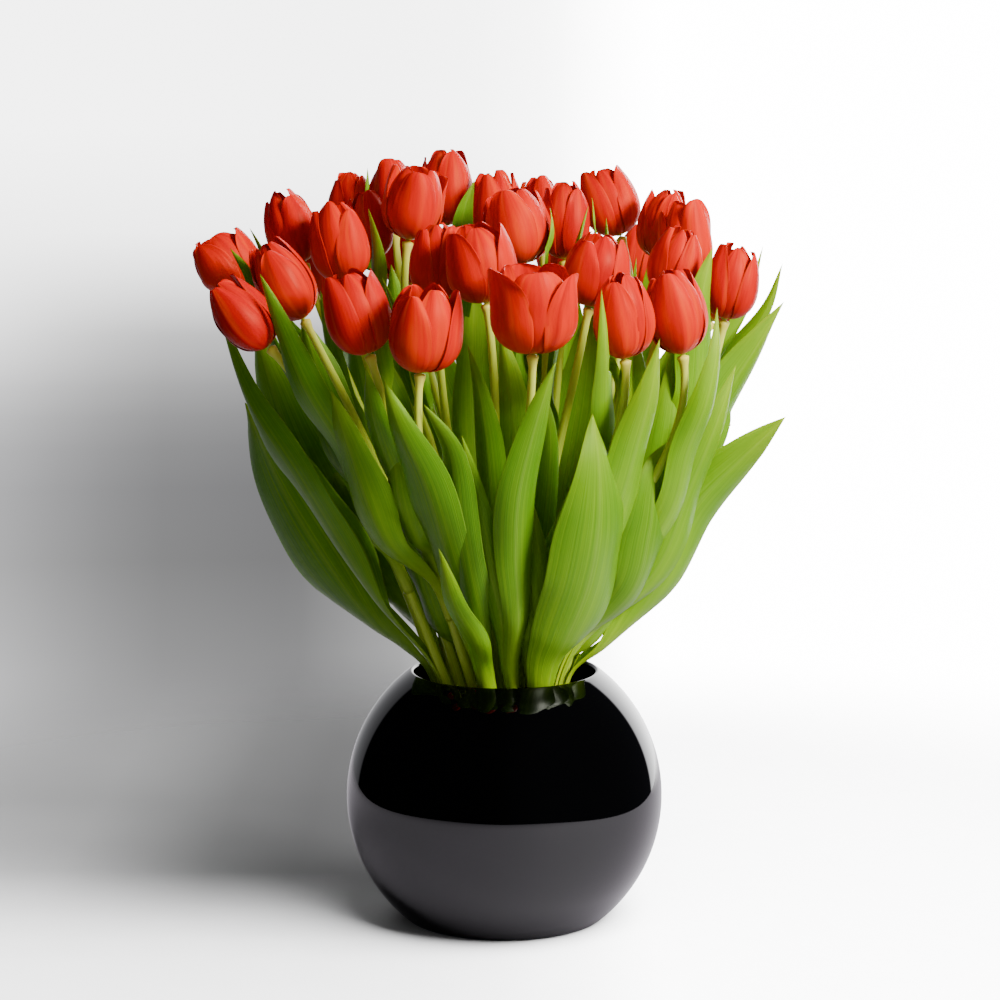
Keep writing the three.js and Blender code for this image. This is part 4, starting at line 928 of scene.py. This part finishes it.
white_top_painted_shade, tree, shader = finish_of("white_top_painted_shade", Roughness=0.6, Specular_IOR_Level=0.2)
place = put(tree, "ShaderNodeTexCoord").outputs["Object"]
grain = noise(tree, place, 40.0, 3.0)
white = ramp(tree, grain, [(0.3, (0.84, 0.84, 0.845)), (0.7, (0.86, 0.86, 0.865))])
spot = put(tree, "ShaderNodeSeparateXYZ", {"Vector": place}).outputs
deep = share_of(tree, spot["Y"], -0.2, 0.6)
aside = share_of(tree, spot["X"], -0.5, 0.3)
# Painted shade and a painted shadow of the bunch: the top's colour darkens further back and to the left,
# most of all just left of the vase, and whitens again to the right.
away = ramp(tree, deep, [
    (0.0, 0.38), (0.12, 0.40), (0.22, 0.36), (0.30, 0.26), (0.37, 0.17), (0.45, 0.13), (0.6, 0.088),
    (1.0, 0.065)])
near = ramp(tree, aside, [(0.1, 1.05), (0.25, 0.86), (0.31, 0.62), (0.375, 0.34), (0.45, 0.2)])
near = mixed(tree, ramp(tree, deep, [(0.17, 1.0), (0.36, 0.0)]), near, 1.2)
painted_floor_shade = times(tree, away, near)
painted_floor_shade = mixed(tree, ramp(tree, aside, [
    (0.5, 0.0), (0.56, 0.04), (0.62, 0.15), (0.68, 0.45), (0.74, 1.0)]), painted_floor_shade, 1.0)
mirror_sees = put(tree, "ShaderNodeLightPath").outputs["Is Glossy Ray"]
feed(shader, Base_Color=mixed(tree, mirror_sees, times(tree, white, painted_floor_shade), (0.112, 0.104, 0.116)))
distance = put(tree, "ShaderNodeVectorMath", {0: place}, operation="LENGTH").outputs["Value"]
fading = share_of(tree, distance, FADES_FROM, FADES_TO, interpolation_type="SMOOTHSTEP")
clear = put(tree, "ShaderNodeBsdfTransparent")
faded = put(tree, "ShaderNodeMixShader", {0: fading, 1: shader.outputs[0], 2: clear.outputs[0]})
tree.links.new(faded.outputs[0], tree.nodes["Material Output"].inputs["Surface"])


def ring_of_floor(name, inner, outer):
    """Flat four-sided faces between two closed lines of points at the height of the vase's base."""
    count = len(inner)
    points = np.concatenate([inner, outer])
    one = np.arange(count)
    two = (one + 1) % count
    faces = np.stack([one, one + count, two + count, two], -1)
    mesh = bpy.data.meshes.new(name)
    mesh.from_pydata(points.tolist(), [], faces.tolist())
    mesh.materials.append(white_top_painted_shade)
    made = bpy.data.objects.new(name, mesh)
    bpy.context.scene.collection.objects.link(made)
    made.visible_diffuse = False
    return made


turn = np.linspace(0, 2 * np.pi, 96, endpoint=False)
side = np.where(np.cos(turn) < 0, TABLE_LEFT, TABLE_RIGHT)
front_or_back = np.where(np.sin(turn) < 0, TABLE_FRONT, TABLE_BACK)
reach = (abs(np.cos(turn) / side) ** TABLE_POWER + abs(np.sin(turn) / front_or_back) ** TABLE_POWER)
reach = reach ** (-1 / TABLE_POWER)
table_edge = np.stack([reach * np.cos(turn), reach * np.sin(turn), 0 * turn], -1)
far_edge = np.stack([FLOOR_REACH * np.cos(turn), FLOOR_REACH * np.sin(turn), 0 * turn], -1)
floor = ring_of_floor("floor", table_edge * FLOOR_PINHOLE, table_edge)
floor_beyond = ring_of_floor("floor_beyond", table_edge, far_edge)
floor_beyond.visible_glossy = False


# ---- Light and air -------------------------------------------------------------------------------
# A soft key light from the right front and above, a weak rim light from behind, and a floor light that
# only whitens the table. The air is pale to the eye, with painted shade: greyer lower down and to the
# left, and darkest beside the bunch as a painted shadow of it. It is weaker as fill, and dark to
# mirror-like surfaces except far behind the vase.

PALE_STRENGTH = 16.0
world = bpy.data.worlds.new("studio_air")
bpy.context.scene.world = world
world.use_nodes = True
tree = world.node_tree
tree.nodes.clear()
rays = put(tree, "ShaderNodeLightPath").outputs
way = put(tree, "ShaderNodeTexCoord").outputs["Generated"]
ways = put(tree, "ShaderNodeSeparateXYZ", {"Vector": way}).outputs
right = share_of(tree, ways["X"], -1.0, 1.0)
back = share_of(tree, ways["Y"], -1.0, 1.0)
up = share_of(tree, ways["Z"], -0.3, 0.1)
fill = ramp(tree, right, [(0.1, (0.16, 0.16, 0.165)), (0.5, (0.38, 0.39, 0.39)), (0.9, (0.62, 0.62, 0.58))])
sided = ramp(tree, right, [
    (0.25, (0.07, 0.07, 0.073)), (0.44, (0.10, 0.10, 0.103)), (0.5, (0.28, 0.28, 0.285)), (0.56, 0.6),
    (0.75, 1.0)])
mirrored = ramp(tree, back, [(0.835, (0.004, 0.004, 0.005)), (0.85, (0.55, 0.55, 0.56)), (1.0, 1.0)])
mirrored = times(tree, times(tree, mirrored, sided), 8.0)
glow = put(tree, "ShaderNodeBackground", {"Color": mixed(tree, rays["Is Glossy Ray"], fill, mirrored)})
# Painted shade on the air the eye sees: greyer lower down and to the left, darker still just left of the
# bunch as a painted shadow of it, and white to the right.
shaded = ramp(tree, up, [
    (0.0, (0.066, 0.066, 0.067)), (0.2, (0.056, 0.056, 0.057)), (0.36, (0.036, 0.036, 0.0365)),
    (0.43, (0.037, 0.037, 0.038)), (0.47, (0.043, 0.043, 0.044)), (0.50, (0.053, 0.053, 0.054)),
    (0.53, (0.072, 0.072, 0.073)), (0.57, (0.115, 0.115, 0.116)), (0.62, (0.175, 0.175, 0.176)),
    (0.68, (0.25, 0.25, 0.251)), (0.78, 0.34)])
painted_shadow_beside_bunch = ramp(tree, right, [
    (0.40, 1.0), (0.413, 0.72), (0.423, 0.56), (0.433, 0.46), (0.452, 0.40), (0.469, 0.36)])
painted_shadow_beside_bunch = mixed(tree, ramp(tree, up, [(0.58, 0.0), (0.68, 1.0)]), painted_shadow_beside_bunch, 1.0)
whitening = ramp(tree, right, [(0.46, 0.0), (0.48, 0.015), (0.495, 0.05), (0.51, 0.2), (0.53, 1.0)])
pale = mixed(tree, whitening, times(tree, shaded, painted_shadow_beside_bunch), 1.0)
seen = put(tree, "ShaderNodeBackground", {"Color": pale, "Strength": PALE_STRENGTH})
shown = {0: rays["Is Camera Ray"], 1: glow.outputs[0], 2: seen.outputs[0]}
either = put(tree, "ShaderNodeMixShader", shown)
put(tree, "ShaderNodeOutputWorld", {"Surface": either.outputs[0]})

lit_by_key = bpy.data.collections.new("lit_by_key")
lit_by_floor_light = bpy.data.collections.new("lit_by_floor_light")
for each in bpy.context.scene.collection.objects:
    if each.type == "MESH" and each not in (vase, floor, floor_beyond):
        lit_by_key.objects.link(each)
for each in (floor, floor_beyond):
    lit_by_floor_light.objects.link(each)


def soft_light(name, spot, aim, size, power, tint, receivers):
    """A square light at the spot, facing the aim, that lights the receivers alone."""
    lamp = bpy.data.lights.new(name, "AREA")
    lamp.size = size
    lamp.energy = power
    lamp.color = tint
    made = bpy.data.objects.new(name, lamp)
    made.location = spot
    made.rotation_euler = (Vector(aim) - Vector(spot)).to_track_quat("-Z", "Y").to_euler()
    bpy.context.scene.collection.objects.link(made)
    made.light_linking.receiver_collection = receivers


BUNCH_MIDDLE = (0, 0, 300 * MM)
WHITE = (1.0, 1.0, 1.0)
soft_light("key_light", (1.25, -1.05, 1.2), BUNCH_MIDDLE, 0.55, 80, (1.0, 0.985, 0.94), lit_by_key)
soft_light("rim_light", (0.9, 1.2, 1.0), BUNCH_MIDDLE, 0.6, 16, WHITE, lit_by_key)
soft_light("floor_light", (1.0, -0.7, 2.0), (0, 0, 0), 2.0, 900, WHITE, lit_by_floor_light)


# ---- The camera ----------------------------------------------------------------------------------
# It stands in front of the vase at about the flowers' height and looks down a little.

LENS, SENSOR = 90.9, 36  # in millimetres, as Blender has them
CAMERA_ASIDE = -2.8 * MM
CAMERA_AWAY = 1568 * MM
CAMERA_HEIGHT = 477 * MM
AIM_HEIGHT = 265.5 * MM
camera_data = bpy.data.cameras.new("camera")
camera_data.lens = LENS
camera_data.sensor_width = SENSOR
camera = bpy.data.objects.new("camera", camera_data)
camera.location = (CAMERA_ASIDE, -CAMERA_AWAY, CAMERA_HEIGHT)
aim = Vector((CAMERA_ASIDE, 0, AIM_HEIGHT))
camera.rotation_euler = (aim - camera.location).to_track_quat("-Z", "Y").to_euler()
bpy.context.scene.collection.objects.link(camera)
bpy.context.scene.camera = camera
